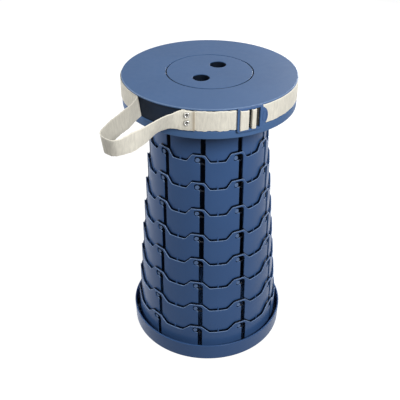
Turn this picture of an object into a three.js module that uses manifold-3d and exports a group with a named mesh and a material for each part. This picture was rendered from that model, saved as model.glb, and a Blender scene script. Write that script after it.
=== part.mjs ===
// A round telescopic stool: a seat on nine slotted rings that nest inside one another, standing in a tray.
// Millimetres, +Z up. The origin is the centre of the tray's underside, on the floor.
// Azimuths are in degrees, measured from the front (-Y) towards the right (+X).
import * as THREE from "three";
import { mergeVertices } from "three/addons/utils/BufferGeometryUtils.js";
import Module from "manifold-3d";

const wasm = await Module();
wasm.setup();

// Overall sizes
const STOOL_HEIGHT = 450;
const SEAT_RADIUS = 126;
const RUNNING_GAP = 0.3; // between pieces that touch or seat on each other
const OVERRUN = 2; // how far a cutter passes the face it cuts
const WELD = 1e-4; // corners closer than this are one

// Telescope
const RING_COUNT = 9;
const COLLAR_DEPTH = 62.67; // from the seat's top to the collar's lower edge
const RING_WALL = 2.9;
const RING_CLEARANCE = 1;
const TRAY_CLEARANCE = 6.4; // from the outer ring to the tray's rim
const RING_FACETS = 30;
const FACET_LEAD = 3; // degrees from a slot to the next corner of the faceted wall

// Wavy top edge of a ring: raised ears at the slots, low flats between them
const SLOT_COUNT = 10;
const SLOT_AZIMUTH = -6;
const LAP = 5.73; // from the next ring's lower edge to this one's low flats
const EAR_RISE = 11.3;
const EAR_WIDTH = 19;
const EAR_OFFSET = 6.5; // ear's middle, left of the slot
const LOW_FLAT_SHARE = 0.4; // of the arc from one slot to the next

// Hook window and the track behind it
const SLOT_WIDTH = 7.2;
const SLOT_FOOT_HEIGHT = 1.6;
const SLOT_FOOT_SLANT = 2.2;
const POCKET_OFFSET = 8; // pocket's middle, left of the slot
const POCKET_RADIUS = 4;
const POCKET_ROOF = 2.5; // wall left between the pocket and the ear's top
const POCKET_HUMP = 1.2; // tongue between pocket and slot
const SKIN = 1; // wall left outside the track
const TRACK_SIDE_CLEARANCE = 0.9;

// Pegs and spacer ribs near a ring's lower edge
const PEG_RADIUS = 3.3;
const PEG_SIDES = 6;
const PEG_REACH = 2.3; // beyond the flat of the ring's outer face
const PEG_HEIGHT = 8.03;
const RIB_WIDTH = 2.4;
const RIB_HEIGHT = 10.2;
const RIB_REACH = 0.7;

// Tray
const TRAY_HEIGHT = 30;
const TRAY_FLOOR = 3;
const TRAY_FOOT_INSET = 1; // the wall leans out by this much from foot to rim
const TRAY_WALL = 2.2;
const TRAY_HOOK_WIDTH = 9;
const TRAY_HOOK_THICKNESS = 3;
const TRAY_HOOK_COUNT = 5;
const ROUND_FACETS = 40;

// Seat shell
const SEAT_PLATE = 2.6;
const SEAT_EDGE_BEVEL = 1.2;
const SEAT_LIP = 2.6;
const GROOVE_HEIGHT = 29;
const GROOVE_DEPTH = 2.6;
const SKIRT_WALL = 2.2;
const FLANGE_HEIGHT = 11.6;
const LEDGE_WIDTH = 4.5;
const LEDGE_THICKNESS = 2;
const LEDGE_ROOT = 2; // how far the ledge runs on outside the lid opening
const SEAT_RIB_COUNT = 5;
const SEAT_RIB_WIDTH = 1.6;
const SEAT_RIB_DEPTH = 3.4;
const RIB_END_GAP = 0.6;

// Lid in the middle of the seat
const LID_INSET = 18.05; // from the collar's inner face to the lid's edge
const LID_SEAM = 0.35;
const LID_PLATE = 2.5;
const LID_EDGE_BEVEL = 0.4;
const LID_SKIRT_DEPTH = 10.5;
const LID_SKIRT_WALL = 2.2;
const LID_SKIRT_CLEARANCE = 0.5;
const FINGER_HOLE_RADIUS = 12.1;
const FINGER_HOLE_SHARE = 0.4434; // of the lid's radius, from its centre to a hole's
const FINGER_HOLE_AZIMUTH = 153.3;
const FINGER_TUBE_WALL = 1.8;
const FINGER_FACETS = 16;

// Collar that hangs the top ring from the seat
const COLLAR_FLANGE_CLEARANCE = 2.3; // from the flange to the root of the lid's ledge
const COLLAR_FLANGE_THICKNESS = 2.2;
const BOSS_RADIUS = 3.6;
const BOSS_FACETS = 8;
const SCREW_COUNT = 5;
const SCREW_INSET_SHARE = 0.5522; // of the flange's width, from the collar's inner face
const SCREW_AZIMUTH = 12;
const SCREW_SHANK_RADIUS = 1.45;
const SCREW_HEAD_RADIUS = 2.8;
const SCREW_HEAD_HEIGHT = 1.7;
const SCREW_FACETS = 8;
const SCREW_TIP_GAP = 1;

// Webbing strap
const WEB_WIDTH = 27.6;
const WEB_THICKNESS = 1.4;
const WEB_STEP = 5.5; // azimuth step along an arc of webbing
const LOOP_ROOT = 3; // from the belt's end to the loop's crease
const ANCHOR_START_AZIMUTH = -17.2;
const LOOP_EXIT_AZIMUTH = -49.6;
const LOOP_JOIN_AZIMUTH = -18.5;
const LOOP_END_AZIMUTH = -11.9;
const LOOP_REACH = 92;
const LOOP_DROP = 13.6;
const LOOP_LEAN = 25;
const LOOP_STATIONS = 33;
// Each row: along the chord from exit to join, out from it, drop and lean, as shares of the sizes above
const LOOP_ROUTE_SHARES = [
  [0.06, 0.27, 0.355, 0.3],
  [0.07, 0.537, 0.66, 0.3],
  [0.135, 0.81, 0.83, 0.3],
  [0.25, 0.976, 0.887, 0.3],
  [0.434, 0.994, 0.978, 0.56],
  [0.529, 0.965, 0.997, 0.685],
  [0.586, 0.917, 0.972, 0.55],
  [0.703, 0.708, 0.766, 0.05],
  [0.767, 0.518, 0.504, 0.39],
  [0.834, 0.267, 0.054, 0.97],
  [0.934, 0.098, -0.062, 0.89],
];

// Buckle: two long rails joined by four bars, with a thumb tab
const BUCKLE_AZIMUTH = 15.6;
const BUCKLE_THICKNESS = 2.8;
const BUCKLE_RAIL = 2;
const BUCKLE_SIDE_CLEARANCE = 0.3;
const LEFT_BAR = 3.5;
const ENTRY_SLOT = 2.2;
const ANCHOR_BAR = 8.5;
const MIDDLE_SLOT = 7.5;
const GRIP_BAR = 4.3;
const RIGHT_SLOT = 6.4;
const RIGHT_BAR = 4.4;
const TAB_LENGTH = 8.1;
const TAB_HEIGHT = 25;
const TAB_THICKNESS = 2;
const TAB_INSET = 0.2; // from the bars' outer face to the tab's
const TAB_STEPS = 8;
const BUCKLE_STEP = 5; // azimuth step along the rails

// Rivets that close the hand loop
const RIVET_AZIMUTH = -14;
const RIVET_RISE = 5.6; // above and below the strap's middle line
const RIVET_RAISE = 3.3; // the pair's middle, above the strap's middle line
const RIVET_SHANK_RADIUS = 1.5;
const RIVET_HEAD_RADIUS = 3.4;
const RIVET_DOME = 1.6;
const RIVET_TAIL_RADIUS = 2.4;
const RIVET_TAIL_THICKNESS = 0.6;
const RIVET_HOLE_CLEARANCE = 0.3;
const RIVET_FACETS = 8;
const WASHER_RADIUS = 3.4;
const WASHER_THICKNESS = 0.6;

// Sizes that follow from those above
const RING_STEP = RING_WALL + RING_CLEARANCE;
const OUTER_RING_RADIUS = SEAT_RADIUS - TRAY_WALL - TRAY_CLEARANCE;
const FIRST_FLOOR = TRAY_FLOOR + RUNNING_GAP;
const PITCH = (STOOL_HEIGHT - COLLAR_DEPTH - FIRST_FLOOR) / RING_COUNT; // from one ring to the next
const LOW_EDGE_HEIGHT = PITCH + LAP;
const EAR_HEIGHT = LOW_EDGE_HEIGHT + EAR_RISE;
const POCKET_HEIGHT = PITCH + PEG_HEIGHT; // pocket's middle above the ring's lower edge
const ringRadius = (k) => OUTER_RING_RADIUS - RING_STEP * (RING_COUNT - k);
const ringFloor = (k) => FIRST_FLOOR + PITCH * (RING_COUNT - k);
const TURN = 360;
const PANEL_ANGLE = TURN / SLOT_COUNT;
const FACET_ANGLE = TURN / RING_FACETS;
const ringFlat = (radius) => radius * Math.cos(THREE.MathUtils.degToRad(FACET_ANGLE / 2));
const PLATE_UNDERSIDE = STOOL_HEIGHT - SEAT_PLATE;
const GROOVE_TOP = STOOL_HEIGHT - SEAT_LIP;
const GROOVE_FLOOR = GROOVE_TOP - GROOVE_HEIGHT;
const GROOVE_RADIUS = SEAT_RADIUS - GROOVE_DEPTH;
const SKIRT_INNER = GROOVE_RADIUS - SKIRT_WALL;
const FLANGE_UNDERSIDE = GROOVE_FLOOR - FLANGE_HEIGHT;
const COLLAR_INNER = ringRadius(0) - RING_WALL;
const LID_RADIUS = COLLAR_INNER - LID_INSET;
const LID_OPENING = LID_RADIUS + LID_SEAM;
const LEDGE_INNER = LID_OPENING - LEDGE_WIDTH;
const LEDGE_TOP = STOOL_HEIGHT - LID_PLATE - RUNNING_GAP;
const COLLAR_FLANGE_WIDTH = LID_INSET - LID_SEAM - LEDGE_ROOT - COLLAR_FLANGE_CLEARANCE;
const RIB_UNDERSIDE = PLATE_UNDERSIDE - SEAT_RIB_DEPTH;
const SCREW_CIRCLE = COLLAR_INNER - SCREW_INSET_SHARE * COLLAR_FLANGE_WIDTH;
const SCREW_HOLE_RADIUS = SCREW_SHANK_RADIUS + RUNNING_GAP;
const STRAP_MIDDLE = GROOVE_FLOOR + GROOVE_HEIGHT / 2;
const BELT_RADIUS = GROOVE_RADIUS + RUNNING_GAP + WEB_THICKNESS / 2;
const LAYER_STEP = WEB_THICKNESS + RUNNING_GAP;
const LOOP_RADIUS = BELT_RADIUS + 2 * LAYER_STEP;
const LOOP_OUTER = LOOP_RADIUS + WEB_THICKNESS / 2;
const BUCKLE_INNER = BELT_RADIUS + LAYER_STEP + WEB_THICKNESS / 2 + RUNNING_GAP;
const BUCKLE_OUTER = BUCKLE_INNER + BUCKLE_THICKNESS;
const BUCKLE_WINDOW = WEB_WIDTH + 2 * BUCKLE_SIDE_CLEARANCE;
const RIVET_HOLE_RADIUS = RIVET_SHANK_RADIUS + RIVET_HOLE_CLEARANCE;

// Materials
const blue = new THREE.MeshStandardMaterial({ color: 0x3f5f8e, roughness: 0.45, metalness: 0 });
const webbing = new THREE.MeshStandardMaterial({ color: 0xdcd8cb, roughness: 0.9, metalness: 0 });
const steel = new THREE.MeshStandardMaterial({ color: 0xb9bcc0, roughness: 0.3, metalness: 1 });

const root = new THREE.Group();

// Directions at an azimuth: outwards, and sideways towards larger azimuths
const rad = THREE.MathUtils.degToRad;
const deg = THREE.MathUtils.radToDeg;
const outward = (az) => new THREE.Vector3(Math.sin(rad(az)), -Math.cos(rad(az)), 0);
const sideways = (az) => new THREE.Vector3(Math.cos(rad(az)), Math.sin(rad(az)), 0);
const UP = new THREE.Vector3(0, 0, 1);
const polar = (az, r, z) => outward(az).multiplyScalar(r).setZ(z);
const arcAngle = (length, radius) => deg(length / radius);

// A closed geometry as a solid, and a solid back as a named mesh
function solid(geometry) {
  const bare = geometry.clone();
  bare.deleteAttribute("normal");
  bare.deleteAttribute("uv");
  const merged = mergeVertices(bare, WELD);
  return new wasm.Manifold(
    new wasm.Mesh({
      numProp: 3,
      vertProperties: merged.attributes.position.array,
      triVerts: new Uint32Array(merged.index.array),
    }),
  );
}

function addPiece(name, body, material) {
  const { vertProperties, triVerts } = body.getMesh();
  const shared = new THREE.BufferGeometry();
  shared.setAttribute("position", new THREE.BufferAttribute(vertProperties, 3));
  shared.setIndex(new THREE.BufferAttribute(triVerts, 1));
  const geometry = shared.toNonIndexed();
  geometry.computeVertexNormals();
  const mesh = new THREE.Mesh(geometry, material);
  mesh.name = name;
  root.add(mesh);
}

// A body of revolution about Z; the profile is [radius, height] points, anticlockwise
function turned(profile, facets, phase = 0) {
  const points = profile.map(([r, z]) => new THREE.Vector2(r, z));
  if (profile[0][0] !== 0) points.push(points[0].clone());
  return new THREE.LatheGeometry(points, facets, rad(phase)).rotateX(Math.PI / 2);
}

// An outline of [sideways, up] points pushed outwards from radius r0 to r1 at an azimuth
function radialPrism(outline, r0, r1, az) {
  const shape = new THREE.Shape(outline.map(([s, z]) => new THREE.Vector2(s, z)));
  const geometry = new THREE.ExtrudeGeometry(shape, { depth: r1 - r0, bevelEnabled: false });
  geometry.translate(0, 0, r0);
  return geometry.applyMatrix4(new THREE.Matrix4().makeBasis(sideways(az), UP, outward(az)));
}

// A turned shape whose own axis points outwards at an azimuth, at height z
function radialTurned(profile, facets, az, z) {
  const geometry = turned(profile, facets);
  geometry.applyMatrix4(new THREE.Matrix4().makeBasis(sideways(az), UP, outward(az)));
  return geometry.translate(0, 0, z);
}

// A sector of a cylinder wall, from azimuth a0 to a1
function sector(r0, r1, a0, a1, z0, z1, steps) {
  const arc = (r) => Array.from({ length: steps + 1 }, (_, i) => polar(a0 + ((a1 - a0) * i) / steps, r, 0));
  const shape = new THREE.Shape([...arc(r1), ...arc(r0).reverse()].map((p) => new THREE.Vector2(p.x, p.y)));
  return new THREE.ExtrudeGeometry(shape, { depth: z1 - z0, bevelEnabled: false }).translate(0, 0, z0);
}

const rectangle = (s0, s1, z0, z1) => [[s0, z0], [s1, z0], [s1, z1], [s0, z1]];

// A plain cylinder between two heights
function post(x, y, radius, z0, z1, facets) {
  return new THREE.CylinderGeometry(radius, radius, z1 - z0, facets)
    .rotateX(Math.PI / 2)
    .translate(x, y, (z0 + z1) / 2);
}

// Where slot i and its ear stand on a ring of a given radius
const slotAzimuth = (i) => SLOT_AZIMUTH + PANEL_ANGLE * i;
const earAzimuth = (i, radius) => slotAzimuth(i) - arcAngle(EAR_OFFSET, radius);
// A peg stands in the pocket of the ring outside, so its azimuth comes from that ring's radius
const pegAzimuth = (i, k) => slotAzimuth(i) - arcAngle(POCKET_OFFSET, ringRadius(k + 1));

// The gap in the top edge between two ears
function lowFlatCutter(i, k) {
  const radius = ringRadius(k);
  const pitch = rad(PANEL_ANGLE) * radius;
  const flat = (LOW_FLAT_SHARE * pitch) / 2;
  const shoulder = (pitch - EAR_WIDTH) / 2;
  const across = (s) => radius * Math.sin(s / radius);
  const low = ringFloor(k) + LOW_EDGE_HEIGHT;
  const top = ringFloor(k) + EAR_HEIGHT;
  const outline = [
    [-across(flat), low],
    [across(flat), low],
    [across(shoulder), top],
    [across(shoulder), top + OVERRUN],
    [-across(shoulder), top + OVERRUN],
    [-across(shoulder), top],
  ];
  const az = earAzimuth(i, radius) + PANEL_ANGLE / 2;
  return radialPrism(outline, radius - RING_WALL - 2 * OVERRUN, radius + OVERRUN, az);
}

// The hook-shaped window: a pocket on the left that opens over a hump into a straight slot
function hookWindow(i, k) {
  const radius = ringRadius(k);
  const floor = ringFloor(k);
  const half = SLOT_WIDTH / 2;
  const middle = floor + POCKET_HEIGHT;
  const roof = floor + EAR_HEIGHT - POCKET_ROOF;
  const left = -POCKET_OFFSET - POCKET_RADIUS;
  const outline = [
    [half, floor + SLOT_FOOT_HEIGHT],
    [half, middle + POCKET_HUMP],
    [-half + POCKET_HUMP, roof],
    [-POCKET_OFFSET, roof],
    [left, (middle + roof) / 2],
    [left, middle - POCKET_HUMP],
    [-POCKET_OFFSET, middle - POCKET_RADIUS],
    [-half - POCKET_HUMP, middle - POCKET_RADIUS + POCKET_HUMP],
    [-half, middle - POCKET_RADIUS],
    [-half, floor + SLOT_FOOT_HEIGHT + SLOT_FOOT_SLANT],
  ];
  return radialPrism(outline, radius - RING_WALL - OVERRUN, radius + OVERRUN, slotAzimuth(i));
}

// The track behind the skin, open at the bottom, in which the next ring's peg runs down
function trackCutter(i, k) {
  const radius = ringRadius(k);
  const facet = slotAzimuth(i) + FACET_LEAD - FACET_ANGLE / 2;
  const middle = rad(slotAzimuth(i) - facet) * radius;
  const left = middle - POCKET_OFFSET - PEG_RADIUS - TRACK_SIDE_CLEARANCE;
  const right = middle + SLOT_WIDTH / 2 + RUNNING_GAP;
  const roof = ringFloor(k) + EAR_HEIGHT - POCKET_ROOF;
  const outline = rectangle(left, right, ringFloor(k) - OVERRUN, roof + RUNNING_GAP);
  return radialPrism(outline, radius - RING_WALL - OVERRUN, ringFlat(radius) - SKIN, facet);
}

// A peg that stands out near the lower edge, and a thin rib halfway between two slots
function peg(i, k) {
  const foot = ringFlat(ringRadius(k)) - SKIN / 2;
  const tip = ringFlat(ringRadius(k)) + PEG_REACH;
  const profile = [[0, foot], [PEG_RADIUS, foot], [PEG_RADIUS, tip], [0, tip]];
  return radialTurned(profile, PEG_SIDES, pegAzimuth(i, k), ringFloor(k) + PEG_HEIGHT);
}

function spacerRib(i, k) {
  const radius = ringRadius(k);
  const outline = rectangle(-RIB_WIDTH / 2, RIB_WIDTH / 2, ringFloor(k), ringFloor(k) + RIB_HEIGHT);
  const az = earAzimuth(i, radius) + PANEL_ANGLE / 2;
  return radialPrism(outline, radius - RING_WALL / 2, radius + RIB_REACH, az);
}

// A plain tube wall with the pegs and ribs of ring k
function ringWall(k, top) {
  const r1 = ringRadius(k);
  const r0 = r1 - RING_WALL;
  const profile = [[r0, ringFloor(k)], [r1, ringFloor(k)], [r1, top], [r0, top]];
  let wall = solid(turned(profile, RING_FACETS, SLOT_AZIMUTH + FACET_LEAD));
  for (let i = 0; i < SLOT_COUNT; i++) wall = wall.add(solid(spacerRib(i, k)));
  return wall;
}

function withPegs(wall, k) {
  for (let i = 0; i < SLOT_COUNT; i++) wall = wall.add(solid(peg(i, k)));
  return wall;
}

function makeRing(k) {
  let wall = ringWall(k, ringFloor(k) + EAR_HEIGHT);
  for (let i = 0; i < SLOT_COUNT; i++) {
    wall = wall.subtract(solid(lowFlatCutter(i, k)));
    wall = wall.subtract(solid(trackCutter(i, k)));
    wall = wall.subtract(solid(hookWindow(i, k)));
  }
  addPiece("ring_" + k, withPegs(wall, k), blue);
}

// The collar is the innermost ring: a plain wall with an inner flange, screwed up into the seat
function makeCollar() {
  const flangeTop = RIB_UNDERSIDE - RUNNING_GAP;
  const flangeFloor = flangeTop - COLLAR_FLANGE_THICKNESS;
  const r0 = COLLAR_INNER - COLLAR_FLANGE_WIDTH;
  const r1 = COLLAR_INNER + RING_WALL / 2;
  const profile = [[r0, flangeFloor], [r1, flangeFloor], [r1, flangeTop], [r0, flangeTop]];
  const flange = turned(profile, RING_FACETS, SLOT_AZIMUTH + FACET_LEAD);
  let collar = ringWall(0, PLATE_UNDERSIDE - RUNNING_GAP).add(solid(flange));
  for (const { x, y } of screwPlaces())
    collar = collar.subtract(
      solid(post(x, y, SCREW_HOLE_RADIUS, flangeFloor - OVERRUN, flangeTop + OVERRUN, SCREW_FACETS)),
    );
  addPiece("seat_collar", withPegs(collar, 0), blue);
}

const screwPlaces = () =>
  Array.from({ length: SCREW_COUNT }, (_, i) => polar(SCREW_AZIMUTH + (TURN / SCREW_COUNT) * i, SCREW_CIRCLE, 0));

function makeScrews() {
  const seat = RIB_UNDERSIDE - 2 * RUNNING_GAP - COLLAR_FLANGE_THICKNESS;
  const tip = STOOL_HEIGHT - SCREW_TIP_GAP - RUNNING_GAP;
  const profile = [
    [0, seat - SCREW_HEAD_HEIGHT],
    [SCREW_SHANK_RADIUS, seat - SCREW_HEAD_HEIGHT],
    [SCREW_HEAD_RADIUS, seat - SCREW_HEAD_HEIGHT / 2],
    [SCREW_HEAD_RADIUS, seat],
    [SCREW_SHANK_RADIUS, seat],
    [SCREW_SHANK_RADIUS, tip],
    [0, tip],
  ];
  screwPlaces().forEach(({ x, y }, i) =>
    addPiece("collar_screw_" + (i + 1), solid(turned(profile, SCREW_FACETS).translate(x, y, 0)), steel),
  );
}

// Tray: a flat round floor with a leaning wall; inward hooks hold down the outer ring's pegs
function makeTray() {
  const foot = SEAT_RADIUS - TRAY_FOOT_INSET;
  const inner = SEAT_RADIUS - TRAY_WALL;
  const profile = [
    [0, 0],
    [foot, 0],
    [SEAT_RADIUS, TRAY_HEIGHT],
    [inner, TRAY_HEIGHT],
    [inner - TRAY_FOOT_INSET, TRAY_FLOOR],
    [0, TRAY_FLOOR],
  ];
  let tray = solid(turned(profile, ROUND_FACETS));
  const hookFloor = ringFloor(RING_COUNT) + PEG_HEIGHT + PEG_RADIUS + RUNNING_GAP;
  const side = TRAY_HOOK_WIDTH / 2;
  const hook = rectangle(-side, side, hookFloor, hookFloor + TRAY_HOOK_THICKNESS);
  for (let i = 0; i < TRAY_HOOK_COUNT; i++) {
    const az = pegAzimuth((i * SLOT_COUNT) / TRAY_HOOK_COUNT, RING_COUNT);
    tray = tray.add(solid(radialPrism(hook, OUTER_RING_RADIUS + RUNNING_GAP, inner + TRAY_WALL / 2, az)));
  }
  addPiece("base_tray", tray, blue);
}

// Seat shell: the plate with its lid opening, the strap groove, the lower flange, bosses and ribs
function makeSeatShell() {
  const ledgeRoot = LID_OPENING + LEDGE_ROOT;
  const profile = [
    [LEDGE_INNER, LEDGE_TOP - LEDGE_THICKNESS],
    [ledgeRoot, LEDGE_TOP - LEDGE_THICKNESS],
    [ledgeRoot, PLATE_UNDERSIDE],
    [SKIRT_INNER, PLATE_UNDERSIDE],
    [SKIRT_INNER, FLANGE_UNDERSIDE],
    [SEAT_RADIUS, FLANGE_UNDERSIDE],
    [SEAT_RADIUS, GROOVE_FLOOR],
    [GROOVE_RADIUS, GROOVE_FLOOR],
    [GROOVE_RADIUS, GROOVE_TOP],
    [SEAT_RADIUS, GROOVE_TOP],
    [SEAT_RADIUS, STOOL_HEIGHT - SEAT_EDGE_BEVEL],
    [SEAT_RADIUS - SEAT_EDGE_BEVEL, STOOL_HEIGHT],
    [LID_OPENING, STOOL_HEIGHT],
    [LID_OPENING, LEDGE_TOP],
    [LEDGE_INNER, LEDGE_TOP],
  ];
  let shell = solid(turned(profile, ROUND_FACETS));
  const fused = PLATE_UNDERSIDE + SEAT_PLATE / 2;
  for (let i = 0; i < SEAT_RIB_COUNT; i++) {
    const outline = rectangle(-SEAT_RIB_WIDTH / 2, SEAT_RIB_WIDTH / 2, RIB_UNDERSIDE, fused);
    const az = SCREW_AZIMUTH + (TURN / SEAT_RIB_COUNT) * (i + 1 / 2);
    const rib = radialPrism(outline, ledgeRoot - LEDGE_ROOT / 2, COLLAR_INNER - RIB_END_GAP, az);
    shell = shell.add(solid(rib));
  }
  for (const { x, y } of screwPlaces()) {
    shell = shell.add(solid(post(x, y, BOSS_RADIUS, RIB_UNDERSIDE, fused, BOSS_FACETS)));
    const tip = STOOL_HEIGHT - SCREW_TIP_GAP;
    shell = shell.subtract(solid(post(x, y, SCREW_HOLE_RADIUS, RIB_UNDERSIDE - OVERRUN, tip, SCREW_FACETS)));
  }
  addPiece("seat_shell", drilledForRivets(shell), blue);
}

// Lid: a round plate with a skirt that drops into the opening, and two finger holes
function makeLid() {
  const under = STOOL_HEIGHT - LID_PLATE;
  const skirtOuter = LEDGE_INNER - LID_SKIRT_CLEARANCE;
  const skirtInner = skirtOuter - LID_SKIRT_WALL;
  const foot = under - LID_SKIRT_DEPTH;
  const profile = [
    [0, under],
    [skirtInner, under],
    [skirtInner, foot],
    [skirtOuter, foot],
    [skirtOuter, under],
    [LID_RADIUS, under],
    [LID_RADIUS, STOOL_HEIGHT - LID_EDGE_BEVEL],
    [LID_RADIUS - LID_EDGE_BEVEL, STOOL_HEIGHT],
    [0, STOOL_HEIGHT],
  ];
  let lid = solid(turned(profile, ROUND_FACETS));
  for (const side of [-1, 1]) {
    const { x, y } = polar(FINGER_HOLE_AZIMUTH, side * FINGER_HOLE_SHARE * LID_RADIUS, 0);
    const tube = post(x, y, FINGER_HOLE_RADIUS + FINGER_TUBE_WALL, foot, under + LID_PLATE / 2, FINGER_FACETS);
    const bore = post(x, y, FINGER_HOLE_RADIUS, foot - OVERRUN, STOOL_HEIGHT + OVERRUN, FINGER_FACETS);
    lid = lid.add(solid(tube)).subtract(solid(bore));
  }
  addPiece("seat_lid", lid, blue);
}

// Webbing: a flat ribbon through stations that each hold a place and the direction of its width
function ribbon(stations) {
  const corners = [];
  stations.forEach(({ place, across }, i) => {
    const next = stations[Math.min(i + 1, stations.length - 1)].place;
    const arriving = place.clone().sub(stations[Math.max(i - 1, 0)].place).normalize();
    const leaving = next.clone().sub(place).normalize();
    const along = arriving.clone().add(leaving).normalize();
    const mitre = Math.max(along.dot(leaving), along.dot(arriving));
    const face = along.cross(across).normalize();
    for (const [u, v] of [[-1, -1], [1, -1], [1, 1], [-1, 1]])
      corners.push(
        place
          .clone()
          .addScaledVector(across, (u * WEB_WIDTH) / 2)
          .addScaledVector(face, (v * WEB_THICKNESS) / 2 / mitre),
      );
  });
  const sides = 4;
  const index = [0, 2, 1, 0, 3, 2];
  for (let i = 0; i + 1 < stations.length; i++)
    for (let j = 0; j < sides; j++) {
      const a = sides * i + j;
      const b = sides * i + ((j + 1) % sides);
      index.push(a, b, a + sides, b, b + sides, a + sides);
    }
  const last = sides * (stations.length - 1);
  index.push(last, last + 1, last + 2, last, last + 2, last + 3);
  const geometry = new THREE.BufferGeometry().setFromPoints(corners);
  return geometry.setIndex(index);
}

// Upright webbing at one azimuth, and along an arc of the seat's rim
const webAt = (az, r) => ({ place: polar(az, r, STRAP_MIDDLE), across: UP });
function webArc(a0, a1, radius) {
  const steps = Math.max(1, Math.round(Math.abs(a1 - a0) / WEB_STEP));
  return Array.from({ length: steps + 1 }, (_, i) => webAt(a0 + ((a1 - a0) * i) / steps, radius));
}

// Azimuths of the buckle's bars, from left to right, each as [start, end]
const buckleArc = (length) => arcAngle(length, (BUCKLE_INNER + BUCKLE_OUTER) / 2);
function buckleBars() {
  let at = BUCKLE_AZIMUTH;
  const widths = [LEFT_BAR, ENTRY_SLOT, ANCHOR_BAR, MIDDLE_SLOT, GRIP_BAR, RIGHT_SLOT, RIGHT_BAR];
  const [left, , anchor, , grip, , right] = widths.map((width) => {
    const start = at;
    at += buckleArc(width);
    return [start, at];
  });
  return { left, anchor, grip, right };
}

// Webbing at a bar runs clear of its near and far sides, and over its outer face
const barSide = buckleArc(WEB_THICKNESS / 2 + RUNNING_GAP);
const overBar = BUCKLE_OUTER + RUNNING_GAP + WEB_THICKNESS / 2;
const wrap = (from, to) => [webAt(from, overBar), webAt(to, overBar)];

// Anchor: doubled webbing from the rivets, out under the left bar, round the anchor bar and back
function makeAnchor() {
  const [start, end] = buckleBars().anchor;
  const near = start - barSide;
  const far = end + barSide;
  const stations = [
    ...webArc(ANCHOR_START_AZIMUTH, near, BELT_RADIUS + LAYER_STEP),
    ...wrap(near, far),
    ...webArc(far, ANCHOR_START_AZIMUTH, BELT_RADIUS),
  ];
  addPiece("strap_anchor", drilledForRivets(solid(ribbon(stations))), webbing);
}

// Belt: round the back of the seat, under the right bar, over the grip bar, with its tail tucked in
function makeBelt() {
  const [start, end] = buckleBars().grip;
  const near = end + barSide;
  const far = start - barSide;
  const tail = near - buckleArc(WEB_THICKNESS + 2 * RUNNING_GAP);
  const stations = [
    ...webArc(LOOP_EXIT_AZIMUTH - arcAngle(LOOP_ROOT + RUNNING_GAP, BELT_RADIUS), near - TURN, BELT_RADIUS),
    ...wrap(near, far),
    webAt(far, BELT_RADIUS + LAYER_STEP),
    webAt(tail, BELT_RADIUS + LAYER_STEP),
  ];
  addPiece("strap_belt", solid(ribbon(stations)), webbing);
}

// Hand loop: leaves the groove at a crease, droops out to its tip and comes back over the anchor
function makeHandLoop() {
  const exit = polar(LOOP_EXIT_AZIMUTH, BELT_RADIUS, STRAP_MIDDLE);
  const join = polar(LOOP_JOIN_AZIMUTH, LOOP_RADIUS, STRAP_MIDDLE);
  const chord = join.clone().sub(exit);
  const away = chord.clone().normalize().cross(UP);
  const places = LOOP_ROUTE_SHARES.map(([along, out, drop]) =>
    exit
      .clone()
      .addScaledVector(chord, along)
      .addScaledVector(away, out * LOOP_REACH)
      .addScaledVector(UP, -drop * LOOP_DROP),
  );
  const leans = [0, ...LOOP_ROUTE_SHARES.map(([, , , lean]) => lean * LOOP_LEAN), 0];
  const route = new THREE.CatmullRomCurve3([exit, ...places, join], false, "centripetal");
  const free = Array.from({ length: LOOP_STATIONS + 1 }, (_, i) => {
    const t = i / LOOP_STATIONS;
    const at = t * (leans.length - 1);
    const row = Math.min(Math.floor(at), leans.length - 2);
    const lean = rad(THREE.MathUtils.lerp(leans[row], leans[row + 1], at - row));
    const outside = UP.clone().cross(route.getTangent(t)).setZ(0).normalize().negate();
    return {
      place: route.getPoint(t),
      across: UP.clone().multiplyScalar(Math.cos(lean)).addScaledVector(outside, Math.sin(lean)),
    };
  });
  const stations = [
    webAt(LOOP_EXIT_AZIMUTH - arcAngle(LOOP_ROOT, BELT_RADIUS), BELT_RADIUS),
    ...free,
    ...webArc(LOOP_JOIN_AZIMUTH, LOOP_END_AZIMUTH, LOOP_RADIUS).slice(1),
  ];
  addPiece("strap_hand_loop", drilledForRivets(solid(ribbon(stations))), webbing);
}

// Buckle: curved to the seat's rim, its tab standing off the right bar
function makeBuckle() {
  const { left, anchor, grip, right } = buckleBars();
  const low = STRAP_MIDDLE - BUCKLE_WINDOW / 2;
  const high = STRAP_MIDDLE + BUCKLE_WINDOW / 2;
  const piece = ([a0, a1], z0, z1) =>
    solid(sector(BUCKLE_INNER, BUCKLE_OUTER, a0, a1, z0, z1, Math.max(1, Math.round((a1 - a0) / BUCKLE_STEP))));
  const whole = [left[0], right[1]];
  let buckle = piece(whole, low - BUCKLE_RAIL, low).add(piece(whole, high, high + BUCKLE_RAIL));
  for (const bar of [left, anchor, grip, right])
    buckle = buckle.add(piece(bar, low - BUCKLE_RAIL / 2, high + BUCKLE_RAIL / 2));
  const round = Array.from({ length: TAB_STEPS + 1 }, (_, i) => {
    const turn = Math.PI * (i / TAB_STEPS - 1 / 2);
    return [TAB_LENGTH * Math.cos(turn), STRAP_MIDDLE + (TAB_HEIGHT / 2) * Math.sin(turn)];
  });
  const fused = -RIGHT_BAR / 2;
  const outline = [[fused, round[0][1]], ...round, [fused, round[TAB_STEPS][1]]];
  const tabOuter = BUCKLE_OUTER - TAB_INSET;
  const tab = radialPrism(outline, tabOuter - TAB_THICKNESS, tabOuter, right[1]);
  addPiece("buckle", buckle.add(solid(tab)), blue);
}

// Rivets through the loop, the anchor and the seat's skirt, closed over washers inside
const rivetHeights = () => [1, -1].map((side) => STRAP_MIDDLE + RIVET_RAISE + side * RIVET_RISE);

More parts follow.
